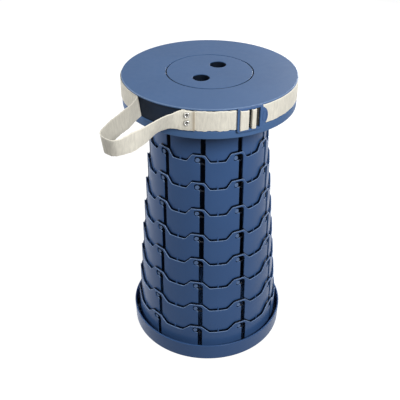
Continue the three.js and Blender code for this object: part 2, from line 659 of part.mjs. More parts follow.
function drilledForRivets(body) {
  const start = SKIRT_INNER - OVERRUN;
  const end = LOOP_OUTER + OVERRUN;
  const profile = [[0, start], [RIVET_HOLE_RADIUS, start], [RIVET_HOLE_RADIUS, end], [0, end]];
  return rivetHeights().reduce(
    (drilled, z) => drilled.subtract(solid(radialTurned(profile, RIVET_FACETS, RIVET_AZIMUTH, z))),
    body,
  );
}

function makeRivets() {
  const washerOut = SKIRT_INNER * Math.cos(Math.PI / ROUND_FACETS) - RUNNING_GAP;
  const washerIn = washerOut - WASHER_THICKNESS;
  const tailOut = washerIn - RUNNING_GAP;
  const head = LOOP_OUTER + RUNNING_GAP;
  const shoulder = Math.SQRT1_2;
  const rivet = [
    [0, tailOut - RIVET_TAIL_THICKNESS],
    [RIVET_TAIL_RADIUS, tailOut - RIVET_TAIL_THICKNESS],
    [RIVET_TAIL_RADIUS, tailOut],
    [RIVET_SHANK_RADIUS, tailOut],
    [RIVET_SHANK_RADIUS, head],
    [RIVET_HEAD_RADIUS, head],
    [RIVET_HEAD_RADIUS * shoulder, head + RIVET_DOME * shoulder],
    [0, head + RIVET_DOME],
  ];
  const washer = [
    [RIVET_HOLE_RADIUS, washerIn],
    [WASHER_RADIUS, washerIn],
    [WASHER_RADIUS, washerOut],
    [RIVET_HOLE_RADIUS, washerOut],
  ];
  rivetHeights().forEach((z, i) => {
    const name = ["upper", "lower"][i];
    addPiece("rivet_" + name, solid(radialTurned(rivet, RIVET_FACETS, RIVET_AZIMUTH, z)), steel);
    addPiece("rivet_washer_" + name, solid(radialTurned(washer, RIVET_FACETS, RIVET_AZIMUTH, z)), steel);
  });
}

makeTray();
for (let k = RING_COUNT; k >= 1; k--) makeRing(k);
makeCollar();
makeScrews();
makeSeatShell();
makeLid();
makeBelt();
makeHandLoop();
makeAnchor();
makeBuckle();
makeRivets();

export default root;
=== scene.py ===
from math import acos, atan2, ceil, cos, degrees, hypot, pi, radians, sin, sqrt, tan

import bmesh
import bpy
import numpy as np
from numpy.linalg import norm
from mathutils import Matrix, Vector
from mathutils.geometry import delaunay_2d_cdt


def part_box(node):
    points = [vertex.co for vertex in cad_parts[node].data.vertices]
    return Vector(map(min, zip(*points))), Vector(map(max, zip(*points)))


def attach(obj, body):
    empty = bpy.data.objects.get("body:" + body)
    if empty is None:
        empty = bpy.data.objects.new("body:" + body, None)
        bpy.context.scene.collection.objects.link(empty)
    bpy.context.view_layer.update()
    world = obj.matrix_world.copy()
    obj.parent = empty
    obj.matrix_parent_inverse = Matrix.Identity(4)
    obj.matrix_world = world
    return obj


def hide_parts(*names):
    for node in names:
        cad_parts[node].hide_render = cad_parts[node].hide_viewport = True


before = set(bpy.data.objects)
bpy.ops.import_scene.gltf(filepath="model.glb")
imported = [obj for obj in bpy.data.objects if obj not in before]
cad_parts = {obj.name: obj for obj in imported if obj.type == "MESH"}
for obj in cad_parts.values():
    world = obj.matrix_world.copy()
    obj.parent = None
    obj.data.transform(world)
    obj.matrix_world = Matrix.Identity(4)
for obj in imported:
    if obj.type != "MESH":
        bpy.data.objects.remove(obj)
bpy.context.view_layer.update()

# Everything is in millimetres until a mesh is made.
# Azimuths are in degrees, from the front (-Y) towards the right.
MM = 0.001


def box_mm(node):
    """Lowest and highest corner of a CAD node, in millimetres."""
    return [np.array(corner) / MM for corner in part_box(node)]


# Overall sizes, from the frame
SEAT_RADIUS = box_mm("seat_shell")[1][0]
SEAT_TOP = box_mm("seat_shell")[1][2]
FLANGE_LOW = box_mm("seat_shell")[0][2]
TRAY_HEIGHT = box_mm("base_tray")[1][2]
LID_RADIUS = box_mm("seat_lid")[1][0]
LID_FOOT = box_mm("seat_lid")[0][2]
RING_COUNT = 9
GAP = 0.3  # between neighbouring pieces

# Rings
RING_WALL = 2.9
RING_STEP = 3.9
OUTER_RADIUS = 117.4
SLOT_COUNT = 10
SLOT_AZIMUTH = -6
PANEL_ANGLE = 360 / SLOT_COUNT
LAP = 5.73
EAR_RISE = 11.3
EAR_WIDTH = 19
EAR_OFFSET = 6.5
EAR_ROUND = 3.2
LOW_FLAT_SHARE = 0.4
SLOT_WIDTH = 7.2
SLOT_FOOT_HEIGHT = 1.6
SLOT_FOOT_SLANT = 2.2
SLOT_ROUND = 0.8
POCKET_OFFSET = 8
POCKET_RADIUS = 4
POCKET_ROOF = 2.5
POCKET_HUMP = 1.2
ARCH_ROUND = 6
SKIN = 1
PEG_ROOM = 4.2
TRACK_CORNER = 3.5
RIM_BEVEL = 0.55
RIM_CHAMFER_WIDTH = 2
RIM_CHAMFER_DEPTH = 1.5
WINDOW_BEVEL = 0.35
# Margins and reaches of the painted highlight on ring edges, pocket humps and pegs; the first margin also
# bounds the painted shade
PAINTED_LIGHT_MARGIN = 0.03
HIGHLIGHT_REACH = 1.5
PEG_HIGHLIGHT = 0.4
HUMP_HIGHLIGHT_LEFT = 2
HUMP_HIGHLIGHT_RIGHT = 1
HUMP_HIGHLIGHT_HALF = 2
SHADE_RISE = 2  # how far a gap's shade reaches above the outer ring's edge
SHADE_FADE = 1.4
INSIDE_SHADE = 0.85

# Pegs and ribs
PEG_RADIUS = 3.5
PEG_TIP_RADIUS = 2.9
PEG_SIDES = 12
PEG_SLOPE = 0.9
PEG_DIMPLE = 0.5
PEG_REACH = 2.5
PEG_ROOT = 0.6
PEG_HEIGHT = 8.03
PEG_CLEAR = 0.5  # a point this far beyond the ribs is on a peg
RIB_WIDTH = 2.4
RIB_HEIGHT = 10.2
RIB_REACH = 0.9
RIB_BEVEL = 0.3

# Seat, lid and collar
SEAT_PLATE = 2.6
SEAT_LIP = 2.6
GROOVE_HEIGHT = 29
GROOVE_DEPTH = 2.6
SKIRT_WALL = 2.2
LEDGE_WIDTH = 4.5
LEDGE_THICKNESS = 2
LID_SEAM = 1.7
SEAM_FADE = 0.3
SEAM_SHALLOW = 0.3
HOLE_FADE = 1.2
GROOVE_SHADE = 0.9
GROOVE_NEAR = 0.5
SEAM_NEAR = 0.1
SEAT_EDGE = 1
SEAT_EDGE_HIGHLIGHT = 0.7
LID_PLATE = 2.5
LID_SKIRT_WALL = 2.2
LID_SKIRT_GAP = 0.5
FINGER_HOLE_RADIUS = 12.1
FINGER_HOLE_SHARE = 0.4434
FINGER_HOLE_AZIMUTH = 153.3
FINGER_TUBE_WALL = 1.8
LID_FUSE = 0.5
COLLAR_FLANGE_WIDTH = 13.4
COLLAR_FLANGE_THICKNESS = 2.2
SEAT_RIB_DEPTH = 3.4
SEAT_RIB_WIDTH = 1.6
SCREW_COUNT = 5
SCREW_AZIMUTH = 12
SCREW_CIRCLE = 72
BOSS_RADIUS = 3.6

# Tray
TRAY_FLOOR = 3
TRAY_WALL = 2.2
TRAY_FOOT_INSET = 1
TRAY_HOOK_WIDTH = 9
TRAY_HOOK_THICKNESS = 3
TRAY_HOOK_COUNT = 5
TRAY_HOOK_GAP = 0.4

# Webbing
WEB_WIDTH = 27.6
WEB_THICKNESS = 1.4
WEB_STEP = 2.0
ARC_WEB_STEP = 0.95  # in degrees
JOIN_ROUNDS = 12
LOOP_EXIT_AZIMUTH = -49.6
LOOP_JOIN_AZIMUTH = -18.5
LOOP_END_AZIMUTH = -9.2
ANCHOR_START_AZIMUTH = -17.2
LOOP_REACH = 92
LOOP_DROP = 13.6
LOOP_LEAN = 25
# Each row: along the chord from exit to join, out from it, drop and lean, as shares of the sizes above
LOOP_ROUTE_SHARES = [
    (0.06, 0.27, 0.355, 0.3),
    (0.07, 0.537, 0.66, 0.3),
    (0.135, 0.81, 0.83, 0.3),
    (0.25, 0.976, 0.887, 0.3),
    (0.434, 0.994, 0.978, 0.56),
    (0.529, 0.965, 0.997, 0.685),
    (0.586, 0.917, 0.972, 0.55),
    (0.703, 0.708, 0.766, 0.05),
    (0.767, 0.518, 0.504, 0.39),
    (0.834, 0.267, 0.054, 0.97),
    (0.934, 0.098, -0.062, 0.89),
]
LOOP_STATIONS = 120
CREASE_ROUND = 1.5
CREASE_SLANT = 13  # degrees from upright, its foot towards the front
CREASE_SPREAD = 16
CREASE_REACH = 3 * CREASE_ROUND
# Where the belt stands off the groove: from, to (azimuths) and by how much in the middle
BELT_SLACK = [(-130, -50, 2.4), (36, 150, 1.4)]
# Width of the painted highlight along the webbing's edges
EDGE_HIGHLIGHT_WIDTH = 1.8
LOOP_RIPPLE = 0.4
FRONT_RIPPLE = 0.9
RIPPLE_LENGTH = 9.5
RIPPLES = [(1, 0, 0.5), (0.37, 1, 0.6), (2.3, 2, 0.25)]  # each: rate, start and size
WEB_ROUND = 0.6
WEB_SECTION_STEP = 4.6
JOIN_SOFT = 16  # how far round the join the webbing's bend is spread
SEARED_END = 5
SHARP_TURN = cos(radians(15))
WEB_MARKS = ("along", "across", "seared", "reverse", "sunken")

# Buckle and rivets
BUCKLE_AZIMUTH = 15.6
BUCKLE_THICKNESS = 2.8
BUCKLE_RAIL = 2.9
BUCKLE_BARS = {"left": 2.8, "entry": 1.9, "anchor": 9.3, "middle": 7.3, "grip": 3.4, "exit": 7.6,
               "right": 4.5}
BUCKLE_SIDE_GAP = 0.3
BUCKLE_CORNER = 2.2
BUCKLE_STEP = 3
TAB_LENGTH = 8.1
TAB_HEIGHT = 25
TAB_RING_WIDTH = 0.7
TAB_RING_RISE = 0.55
TAB_RING_SHARE = 0.3
TAB_RING_SHARES = (0.42, 0.3)
TAB_RING_ROOT = 0.3
TAB_OVERLAP = 0.01
RIVET_AZIMUTH = -13.6
RIVET_RISE = 5.6
RIVET_RAISE = 3.3
RIVET_HEAD_RADIUS = 4
RIVET_DOME = 1.5
RIVET_WELL = 2
RIVET_SHANK = 1.5
RIVET_TAIL_RADIUS = 2.4
RIVET_TAIL = 0.6
RIVET_TAIL_GAP = 1.4
# Share of the rivet well's width that is painted dark as shade
WELL_SHADE_SHARE = 0.9
WELL_FLOOR_SHARE = 0.55
WELL_DEPTH = 0.25
ROLL_RISE = 0.15
ROLL_STEPS = 11
WASHER_RADII = (1.8, 3.4)

# Sizes that follow from those above
GROOVE_TOP = SEAT_TOP - SEAT_LIP
GROOVE_FLOOR = GROOVE_TOP - GROOVE_HEIGHT
GROOVE_RADIUS = SEAT_RADIUS - GROOVE_DEPTH
SKIRT_INNER = GROOVE_RADIUS - SKIRT_WALL
PLATE_LOW = SEAT_TOP - SEAT_PLATE
RIB_LOW = PLATE_LOW - SEAT_RIB_DEPTH
LID_OPENING = LID_RADIUS + LID_SEAM
LEDGE_INNER = LID_OPENING - LEDGE_WIDTH
LEDGE_TOP = SEAT_TOP - LID_PLATE - GAP
STRAP_MIDDLE = GROOVE_FLOOR + GROOVE_HEIGHT / 2
BELT_RADIUS = GROOVE_RADIUS + GAP + WEB_THICKNESS / 2
LAYER_STEP = WEB_THICKNESS + GAP
LOOP_RADIUS = BELT_RADIUS + 2 * LAYER_STEP
BUCKLE_INNER = BELT_RADIUS + LAYER_STEP + WEB_THICKNESS / 2 + GAP
BUCKLE_OUTER = BUCKLE_INNER + BUCKLE_THICKNESS


def ring_radius(k):
    return OUTER_RADIUS - RING_STEP * (RING_COUNT - k)


RING_FLOORS = [box_mm("ring_%d" % k if k else "seat_collar")[0][2] for k in range(RING_COUNT + 1)]
PITCH = RING_FLOORS[1] - RING_FLOORS[2]
COLLAR_INNER = ring_radius(0) - RING_WALL

# How finely meshes are made
ARC_STEP = radians(18)
FACE_STEP = 3.6
HIDDEN_STEP = 9
ROUND_SEGMENTS = 240
SMALL_SEGMENTS = 24
LID_SEGMENTS = 120
HOLE_SEGMENTS = 72
LID_STEP = 6
BEVEL_STEPS = 3
WELD = 1e-6
GRID_CLEAR = 0.45  # share of the step that a fill's points keep from its edge
FILL_EPSILON = 1e-7
SEAM_POINTS = 9
SMOOTH_ANGLE = radians(38)


# Directions and small geometry


def outward(azimuth):
    a = radians(azimuth)
    return np.array([sin(a), -cos(a), 0.0])


def sideways(azimuth):
    a = radians(azimuth)
    return np.array([cos(a), sin(a), 0.0])


UP = np.array([0.0, 0.0, 1.0])


def polar(azimuth, radius, z):
    return outward(azimuth) * radius + UP * z


def on_strap(azimuth, radius):
    """A place at the strap's middle height."""
    return polar(azimuth, radius, STRAP_MIDDLE)


def arc_angle(length, radius):
    return degrees(length / radius)


def unit(vector):
    return vector / norm(vector)


def rounded(corners, closed=True):
    """A line through corners (x, y, radius) or (x, y, z, radius), with an arc in each."""
    places = [np.array(corner[:-1], float) for corner in corners]
    last = len(places) - 1
    line = []
    for i, place in enumerate(places):
        radius = corners[i][-1]
        if radius == 0 or (not closed and i in (0, last)):
            line.append(place)
            continue
        back = places[i - 1] - place
        ahead = places[(i + 1) % len(places)] - place
        room = min(norm(back), norm(ahead)) / 2
        back, ahead = unit(back), unit(ahead)
        half = acos(float(np.clip(back @ ahead, -1, 1))) / 2
        reach = min(radius / tan(half), room)
        middle = place + unit(back + ahead) * reach / cos(half)
        start, end = place + back * reach - middle, place + ahead * reach - middle
        turn = pi - 2 * half
        steps = max(2, ceil(turn / ARC_STEP))
        for j in range(steps + 1):
            t = j / steps
            swing = start * sin((1 - t) * turn) + end * sin(t * turn)
            line.append(middle + swing / sin(turn))
    clear = [p for i, p in enumerate(line) if i == 0 or norm(p - line[i - 1]) > WELD / MM]
    if closed and norm(clear[0] - clear[-1]) < WELD / MM:
        clear.pop()
    return clear


def rectangle(left, right, low, high, *radii):
    """A closed line round a rectangle from its lower left, with one or four corner radii."""
    corners = (left, low), (right, low), (right, high), (left, high)
    radii = radii if len(radii) > 1 else radii * 4
    return rounded([(*corner, radius) for corner, radius in zip(corners, radii)])


def spaced(line, step, closed=True):
    """The same line with points added, so that no stretch is longer than step."""
    out = []
    for i, place in enumerate(line):
        if i == len(line) - 1 and not closed:
            out.append(place)
            break
        ahead = line[(i + 1) % len(line)]
        count = max(1, ceil(norm(ahead - place) / step))
        out.extend(place + (ahead - place) * j / count for j in range(count))
    return out


def inset(line, distance, closed=True):
    """The line moved to its left by a distance, with mitred corners."""
    points = np.array(line)
    ahead = np.roll(points, -1, axis=0) - points
    ahead /= norm(ahead, axis=1)[:, None] + WELD
    if not closed:
        ahead[-1] = ahead[-2]
    back = np.roll(ahead, 1, axis=0)
    if not closed:
        back[0] = ahead[0]
    left = np.stack([-ahead[:, 1] - back[:, 1], ahead[:, 0] + back[:, 0]], axis=1)
    share = 1 + (ahead * back).sum(axis=1)
    return list(points + left / share[:, None] * distance)


def inside(points, loop):
    """Which points lie inside a closed loop."""
    found = np.zeros(len(points), bool)
    for a, b in zip(loop, np.roll(loop, -1, axis=0)):
        crosses = (a[1] > points[:, 1]) != (b[1] > points[:, 1])
        with np.errstate(divide="ignore", invalid="ignore"):
            at = a[0] + (points[:, 1] - a[1]) * (b[0] - a[0]) / (b[1] - a[1])
        found ^= crosses & (points[:, 0] < at)
    return found


def clear_of(points, loop, least):
    """Which points lie further than least from a closed loop."""
    clear = np.ones(len(points), bool)
    for a, b in zip(loop, np.roll(loop, -1, axis=0)):
        along = np.clip(((points - a) @ (b - a)) / max((b - a) @ (b - a), WELD), 0, 1)
        clear &= norm(points - a - along[:, None] * (b - a), axis=1) > least
    return clear


def fill(loops, step):
    """Points and triangles over the flat region inside the first loop and outside the others."""
    loops = [np.array(loop) for loop in loops]
    edges, start = [], 0
    for loop in loops:
        count = len(loop)
        edges += [(start + i, start + (i + 1) % count) for i in range(count)]
        start += count
    low, high = loops[0].min(axis=0), loops[0].max(axis=0)
    xs = np.arange(low[0] + step / 2, high[0], step)
    ys = np.arange(low[1] + step / 2, high[1], step)
    grid = np.stack(np.meshgrid(xs, ys), axis=-1).reshape(-1, 2)
    keep = inside(grid, loops[0])
    for i, loop in enumerate(loops):
        keep &= clear_of(grid, loop, step * GRID_CLEAR)
        if i:
            keep &= ~inside(grid, loop)
    points = np.vstack([*loops, grid[keep]])
    made, _, faces, origins, _, _ = delaunay_2d_cdt([Vector(p) for p in points], edges, [], 0, FILL_EPSILON)
    source = [origin[0] for origin in origins]
    triangles = np.array([[source[v] for v in face] for face in faces])
    middles = points[triangles].mean(axis=1)
    good = inside(middles, loops[0])
    for loop in loops[1:]:
        good &= ~inside(middles, loop)
    return points, triangles[good]


def bevel_rows(bevel):
    """Steps of a quarter-round edge, each as (distance into the face, depth below it)."""
    turns = [pi / 2 * j / BEVEL_STEPS for j in range(BEVEL_STEPS + 1)]
    return [(bevel * (1 - sin(t)), bevel * (1 - cos(t))) for t in turns]


class Shape:
    """Points in millimetres and faces, gathered piece by piece."""

    def __init__(self):
        self.points = []
        self.faces = []

    def add(self, points, faces):
        start = len(self.points)
        self.points.extend(tuple(float(c) for c in p) for p in points)
        self.faces.extend(tuple(start + int(i) for i in face) for face in faces)

    def skin(self, rows, closed=False):
        """Four-sided faces between neighbouring rows of points."""
        count = len(rows[0])
        faces = []
        for r in range(len(rows) - 1):
            for c in range(count if closed else count - 1):
                a, b = r * count + c, r * count + (c + 1) % count
                faces.append((a, b, b + count, a + count))
        self.add([p for row in rows for p in row], faces)

    def turned(self, profile, segments, origin=(0, 0, 0), x=(1, 0, 0), y=(0, 1, 0), axis=(0, 0, 1)):
        """A closed profile of (radius, height) points turned round an axis."""
        origin, x, y, axis = (np.array(v, float) for v in (origin, x, y, axis))
        turns = [2 * pi * i / segments for i in range(segments)]
        spokes = [x * cos(t) + y * sin(t) for t in turns]
        rows = [[origin + axis * h + spoke * r for spoke in spokes] for r, h in profile]
        self.skin(rows + rows[:1], closed=True)

    def turned_outward(self, profile, segments, azimuth, z):
        """The same, round an axis that points outwards at an azimuth."""
        self.turned(profile, segments, (0, 0, z), sideways(azimuth), UP, outward(azimuth))

    def slab(self, at, loops, thickness, bevel, back_bevel, step):
        """A plate with holes. at(u, v, depth) places its points; the first loop is its outline."""
        back = [(offset, thickness - depth) for offset, depth in reversed(bevel_rows(back_bevel))]
        for loop in loops:
            rows = [[at(u, v, depth) for u, v in inset(loop, offset)]
                    for offset, depth in bevel_rows(bevel) + back]
            self.skin(rows, closed=True)
        for depth, offset in ((0, bevel), (thickness, back_bevel)):
            points, triangles = fill([inset(loop, offset) for loop in loops], step)
            self.add([at(u, v, depth) for u, v in points], triangles)

    def block(self, outline, azimuth, inner, outer, bevel):
        """An outline of (sideways, up) points made solid between two distances along an azimuth."""
        side, out = sideways(azimuth), outward(azimuth)
        self.slab(lambda u, v, depth: side * u + UP * v + out * (outer - depth),
                  [outline], outer - inner, bevel, bevel, HIDDEN_STEP)


# Materials

WAVE_SCALE = pi / 10  # a wave texture's scale for one rib per metre
RIBS_PER_METRE = 620
YARNS_PER_METRE = 900
SEAT_BLUE = (0.060, 0.124, 0.262)
RING_BLUE = (0.038, 0.088, 0.213)
BUCKLE_BLUE = (0.048, 0.110, 0.258)
# Paler blue of the painted highlights on plastic edges and pegs
HIGHLIGHT_BLUE = (0.26, 0.36, 0.54)
CREAM = (0.81, 0.775, 0.675)
SEARED_BROWN = (0.48, 0.40, 0.29)
SILVER = (0.62, 0.61, 0.58)
ZINC = (0.55, 0.55, 0.56)
PLASTIC_TONES = (0.96, 1.04)
METAL_TONES = (0.85, 1)
CLOTH_DARK = (0.78, 0.98)
CLOTH_LIGHT = (0.93, 1.1)
# Painted highlight along the webbing's edges
EDGE_HIGHLIGHT_TONE = 1.2
# Painted shade on the webbing's reverse face
REVERSE_SHADE_TONE = 0.68
# Shares of its own colour that plastic, metal or cloth keeps where shade is painted on it
PAINTED_SHADE_TONE = 0.06
CLOTH_PAINTED_SHADE_TONE = 0.05


def plug(owner, node, inputs):
    """Sets a node's inputs, each to a value or to another node's output."""
    for key, value in inputs.items():
        if isinstance(value, bpy.types.NodeSocket):
            owner.node_tree.links.new(value, node.inputs[key])
        else:
            node.inputs[key].default_value = value


def add_node(owner, kind, inputs=None, **settings):
    """A node of a material or of the world, with its settings and inputs."""
    node = owner.node_tree.nodes.new("ShaderNode" + kind)
    for key, value in settings.items():
        setattr(node, key, value)
    plug(owner, node, inputs or {})
    return node


def new_material(name):
    mat = bpy.data.materials.new(name)
    mat.use_nodes = True
    mat.node_tree.nodes.clear()
    shader = add_node(mat, "BsdfPrincipled")
    add_node(mat, "OutputMaterial", {"Surface": shader.outputs["BSDF"]})
    return mat, shader


def attribute(mat, name):
    return add_node(mat, "Attribute", attribute_name=name).outputs["Fac"]


def maths(owner, operation, *values):
    return add_node(owner, "Math", dict(enumerate(values)), operation=operation).outputs[0]


def noise(mat, place, scale, detail=3.0):
    """Noise between 0 and 1 at a scale in features per metre."""
    inputs = {"Vector": place, "Scale": scale, "Detail": detail}
    return add_node(mat, "TexNoise", inputs).outputs["Fac"]


def spread(owner, value, low, high, start=0.3, stop=0.7):
    """A value from start to stop spread over low to high."""
    inputs = {"Value": value, "From Min": start, "From Max": stop, "To Min": low, "To Max": high}
    return add_node(owner, "MapRange", inputs).outputs["Result"]


def mixed(mat, share, first, second, **settings):
    inputs = {0: share, 6: first, 7: second}
    return add_node(mat, "Mix", inputs, data_type="RGBA", **settings).outputs[2]


def bump(mat, height, strength, distance):
    inputs = {"Height": height, "Strength": strength, "Distance": distance}
    return add_node(mat, "Bump", inputs).outputs["Normal"]


def bands(mat, run, direction, count, distortion):
    """Parallel ribs along one direction of a run, at a count per metre."""
    inputs = {"Vector": run, "Scale": count * WAVE_SCALE, "Distortion": distortion,
              "Detail": 2, "Detail Scale": 2}
    return add_node(mat, "TexWave", inputs, wave_type="BANDS",
                    bands_direction=direction).outputs["Fac"]


def shade(colour, factor):
    return tuple(c * factor for c in colour) + (1.0,)


def toned(mat, share, colour, tones):
    low, high = (shade(colour, tone) for tone in tones)
    return mixed(mat, spread(mat, share, 0, 1), low, high)


def plastic(name, colour, roughness, grain, shine):
    """Moulded plastic: mould texture, satin shine, a painted highlight on marked edges, and painted shade
    where marked.
    """
    mat, shader = new_material(name)
    place = add_node(mat, "TexCoord").outputs["Object"]
    tint = toned(mat, noise(mat, place, 16), colour, PLASTIC_TONES)
    # Painted highlight: a paler blue on marked edges, pocket humps and pegs
    worn = attribute(mat, "worn")
    patches = spread(mat, noise(mat, place, 300), 0.45, 0.85)
    tint = mixed(mat, maths(mat, "MULTIPLY", worn, patches), tint, shade(HIGHLIGHT_BLUE, 1))
    # Painted shade: the colour darkens where a point is marked
    sunken = attribute(mat, "sunken")
    plug(mat, shader, {
        "Base Color": mixed(mat, sunken, tint, shade(colour, PAINTED_SHADE_TONE)),
        "Roughness": spread(mat, noise(mat, place, 120, 6), roughness - 0.03, roughness + 0.04),
        "Normal": bump(mat, noise(mat, place, 2600, 2), grain, 0.00004),
        "Specular IOR Level": shine})
    return mat


def metal(name, colour, roughness):
    """Metal with fine handling marks in its shine, and painted shade where a point is marked as in a recess.
    """
    mat, shader = new_material(name)
    place = add_node(mat, "TexCoord").outputs["Object"]
    marks = noise(mat, place, 900, 6)
    satin = spread(mat, marks, roughness - 0.05, roughness + 0.1)
    tint = toned(mat, marks, colour, METAL_TONES)
    # Painted shade where a point is marked as in the rivet's well
    tint = mixed(mat, attribute(mat, "recess"), tint, shade(colour, PAINTED_SHADE_TONE))
    plug(mat, shader, {"Base Color": tint, "Roughness": satin, "Metallic": 1})
    return mat


def webbing_cloth(name, colour, seared_colour):
    """Woven webbing: ribs and streaks across it, yarns along it, a painted highlight along its edges, painted
    shade on its reverse face and under the buckle, and a seared end.
    """
    mat, shader = new_material(name)
    along, across, seared, reverse, sunken = (attribute(mat, key) for key in WEB_MARKS)
    run = add_node(mat, "CombineXYZ", {"X": along, "Y": across}).outputs["Vector"]
    ribs = bands(mat, run, "X", RIBS_PER_METRE, 0.6)
    yarns = bands(mat, run, "Y", YARNS_PER_METRE, 0.4)
    inputs = {0: run, 1: (1, 0.22, 1)}
    long_run = add_node(mat, "VectorMath", inputs, operation="MULTIPLY").outputs[0]
    streaks = noise(mat, long_run, 380, 4)
    slubs = noise(mat, run, 1500, 3)
    height = maths(mat, "ADD", maths(mat, "MULTIPLY", ribs, yarns), slubs)
    dark, light = (toned(mat, streaks, colour, tones) for tones in (CLOTH_DARK, CLOTH_LIGHT))
    woven = mixed(mat, spread(mat, height, 0, 1, 0.3, 0.95), dark, light)
    # Painted highlight along the webbing's edges
    edge = WEB_WIDTH * MM / 2
    edge_highlight = spread(mat, maths(mat, "ABSOLUTE", across), 0, 1, edge - EDGE_HIGHLIGHT_WIDTH * MM, edge)
    woven = mixed(mat, edge_highlight, woven, shade(colour, EDGE_HIGHLIGHT_TONE))
    # Painted shade on the webbing's reverse face
    reverse_shaded = mixed(mat, reverse, woven, shade((REVERSE_SHADE_TONE,) * 3, 1), blend_type="MULTIPLY")
    tint = mixed(mat, seared, reverse_shaded, shade(seared_colour, 1))
    # Painted shade darkens the webbing where it is marked, under the buckle's last slot
    plug(mat, shader, {
        "Base Color": mixed(mat, sunken, tint, shade(colour, CLOTH_PAINTED_SHADE_TONE)),
        "Normal": bump(mat, height, 0.8, 0.0003),
        "Roughness": 0.9, "Specular IOR Level": 0.2, "Sheen Weight": 0.12, "Sheen Roughness": 0.5})
    return mat


MATERIALS = {slot: make(slot, *look) for slot, make, *look in (
    ("seat_plastic", plastic, SEAT_BLUE, 0.5, 0.3, 0.16),
    ("ring_plastic", plastic, RING_BLUE, 0.31, 0.1, 0.14),
    ("buckle_plastic", plastic, BUCKLE_BLUE, 0.36, 0.12, 0.3),
    ("webbing", webbing_cloth, CREAM, SEARED_BROWN),
    ("rivet_steel", metal, SILVER, 0.14),
    ("screw_steel", metal, ZINC, 0.34))}


def new_object(name, data):
    obj = bpy.data.objects.new(name, data)
    bpy.context.scene.collection.objects.link(obj)
    return obj


# Camera

FOCAL_SHARE = 1.68108  # focal length over the picture's width
SENSOR = 36.0
CAMERA_PLACE = (-12.948, -901.45, 823.79)
CAMERA_PITCH = 0.583
CAMERA_ROLL = 0.0046


def make_camera():
    data = bpy.data.cameras.new("camera")
    data.sensor_width = SENSOR
    data.lens = SENSOR * FOCAL_SHARE
    data.clip_start = 0.01
    data.clip_end = 50
    camera = new_object("camera", data)
    forward = np.array([0, cos(CAMERA_PITCH), -sin(CAMERA_PITCH)])
    level_up = np.array([0, sin(CAMERA_PITCH), cos(CAMERA_PITCH)])
    turn, tilt = cos(CAMERA_ROLL), sin(CAMERA_ROLL)
    level = np.array([1, 0, 0])
    axes = [turn * level + tilt * level_up, turn * level_up - tilt * level, -forward]
    matrix = Matrix(np.stack(axes, axis=1).tolist()).to_4x4()
    matrix.translation = Vector(CAMERA_PLACE) * MM
    camera.matrix_world = matrix
    bpy.context.scene.camera = camera


make_camera()


# Pieces


def store(data, name, values):
    """Stores a value at each point of a mesh."""
    layer = data.attributes.new(name, "FLOAT", "POINT")
    layer.data.foreach_set("value", np.array(values, np.float32))


def mark(piece, name, rule):
    """Stores what a rule gives for each point's distance to the axis, height and azimuth."""
    values = []
    for vertex in piece.data.vertices:
        x, y, z = vertex.co / MM
        values.append(float(rule(hypot(x, y), z, degrees(atan2(x, -y)))))
    store(piece.data, name, values)


def make_piece(name, shape, body, slot, *nodes, marks=None, **rules):
    """An object that rides on a body and stands for CAD nodes, with marks that rules give its points.

    Marks that are given ready keep their order, so such a piece isn't welded.
    """
    data = bpy.data.meshes.new(name)
    data.from_pydata([tuple(c * MM for c in p) for p in shape.points], [], shape.faces)
    for key, values in (marks or {}).items():
        store(data, key, values)
    work = bmesh.new()
    work.from_mesh(data)
    if not marks:
        bmesh.ops.remove_doubles(work, verts=work.verts, dist=WELD)
        bmesh.ops.dissolve_degenerate(work, edges=work.edges, dist=WELD / 10)
    bmesh.ops.recalc_face_normals(work, faces=work.faces)
    work.to_mesh(data)
    work.free()
    data.materials.append(MATERIALS[slot])
    data.shade_smooth()
    data.set_sharp_from_angle(angle=SMOOTH_ANGLE)
    obj = new_object(name, data)
    if not marks:
        obj.modifiers.new("even_normals", "WEIGHTED_NORMAL").keep_sharp = True
    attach(obj, body)
    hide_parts(*nodes)
    for key, rule in rules.items():
        mark(obj, key, rule)
    return obj


def slot_azimuth(i):
    return SLOT_AZIMUTH + PANEL_ANGLE * i


def ear_azimuth(i, k):
    return slot_azimuth(i) - arc_angle(EAR_OFFSET, ring_radius(k))


def from_nearest(azimuth, first):
    """The turn to an azimuth from the nearest of the ring's repeats of a first one."""
    return (azimuth - first + PANEL_ANGLE / 2) % PANEL_ANGLE - PANEL_ANGLE / 2


def half_panel(k):
    return radians(PANEL_ANGLE) * ring_radius(k) / 2


def window_roof(k):
    return RING_FLOORS[k] + PITCH + LAP + EAR_RISE - POCKET_ROOF


def peg_azimuth(i, k):
    return slot_azimuth(i) - arc_angle(POCKET_OFFSET, ring_radius(k + 1))


def add_peg(shape, i, k):
    """A faceted stud near the ring's lower edge, with a shallow dimple in its end."""
    root = ring_radius(k) - PEG_ROOT
    tip = ring_radius(k) + PEG_REACH
    profile = [(0, root), (PEG_RADIUS, root), (PEG_RADIUS, tip - PEG_SLOPE), (PEG_TIP_RADIUS, tip),
               (0, tip - PEG_DIMPLE)]
    shape.turned_outward(profile, PEG_SIDES, peg_azimuth(i, k), RING_FLOORS[k] + PEG_HEIGHT)


def add_rib(shape, i, k):
    """A thin upright rib halfway between two slots, with a rounded top."""
    radius = ring_radius(k)
    low, high = RING_FLOORS[k] + RIM_BEVEL, RING_FLOORS[k] + RIB_HEIGHT
    half = RIB_WIDTH / 2
    outline = rectangle(-half, half, low, high, 0, 0, half, half)
    azimuth = ear_azimuth(i, k) + PANEL_ANGLE / 2
    shape.block(outline, azimuth, radius - PEG_ROOT, radius + RIB_REACH, RIB_BEVEL)


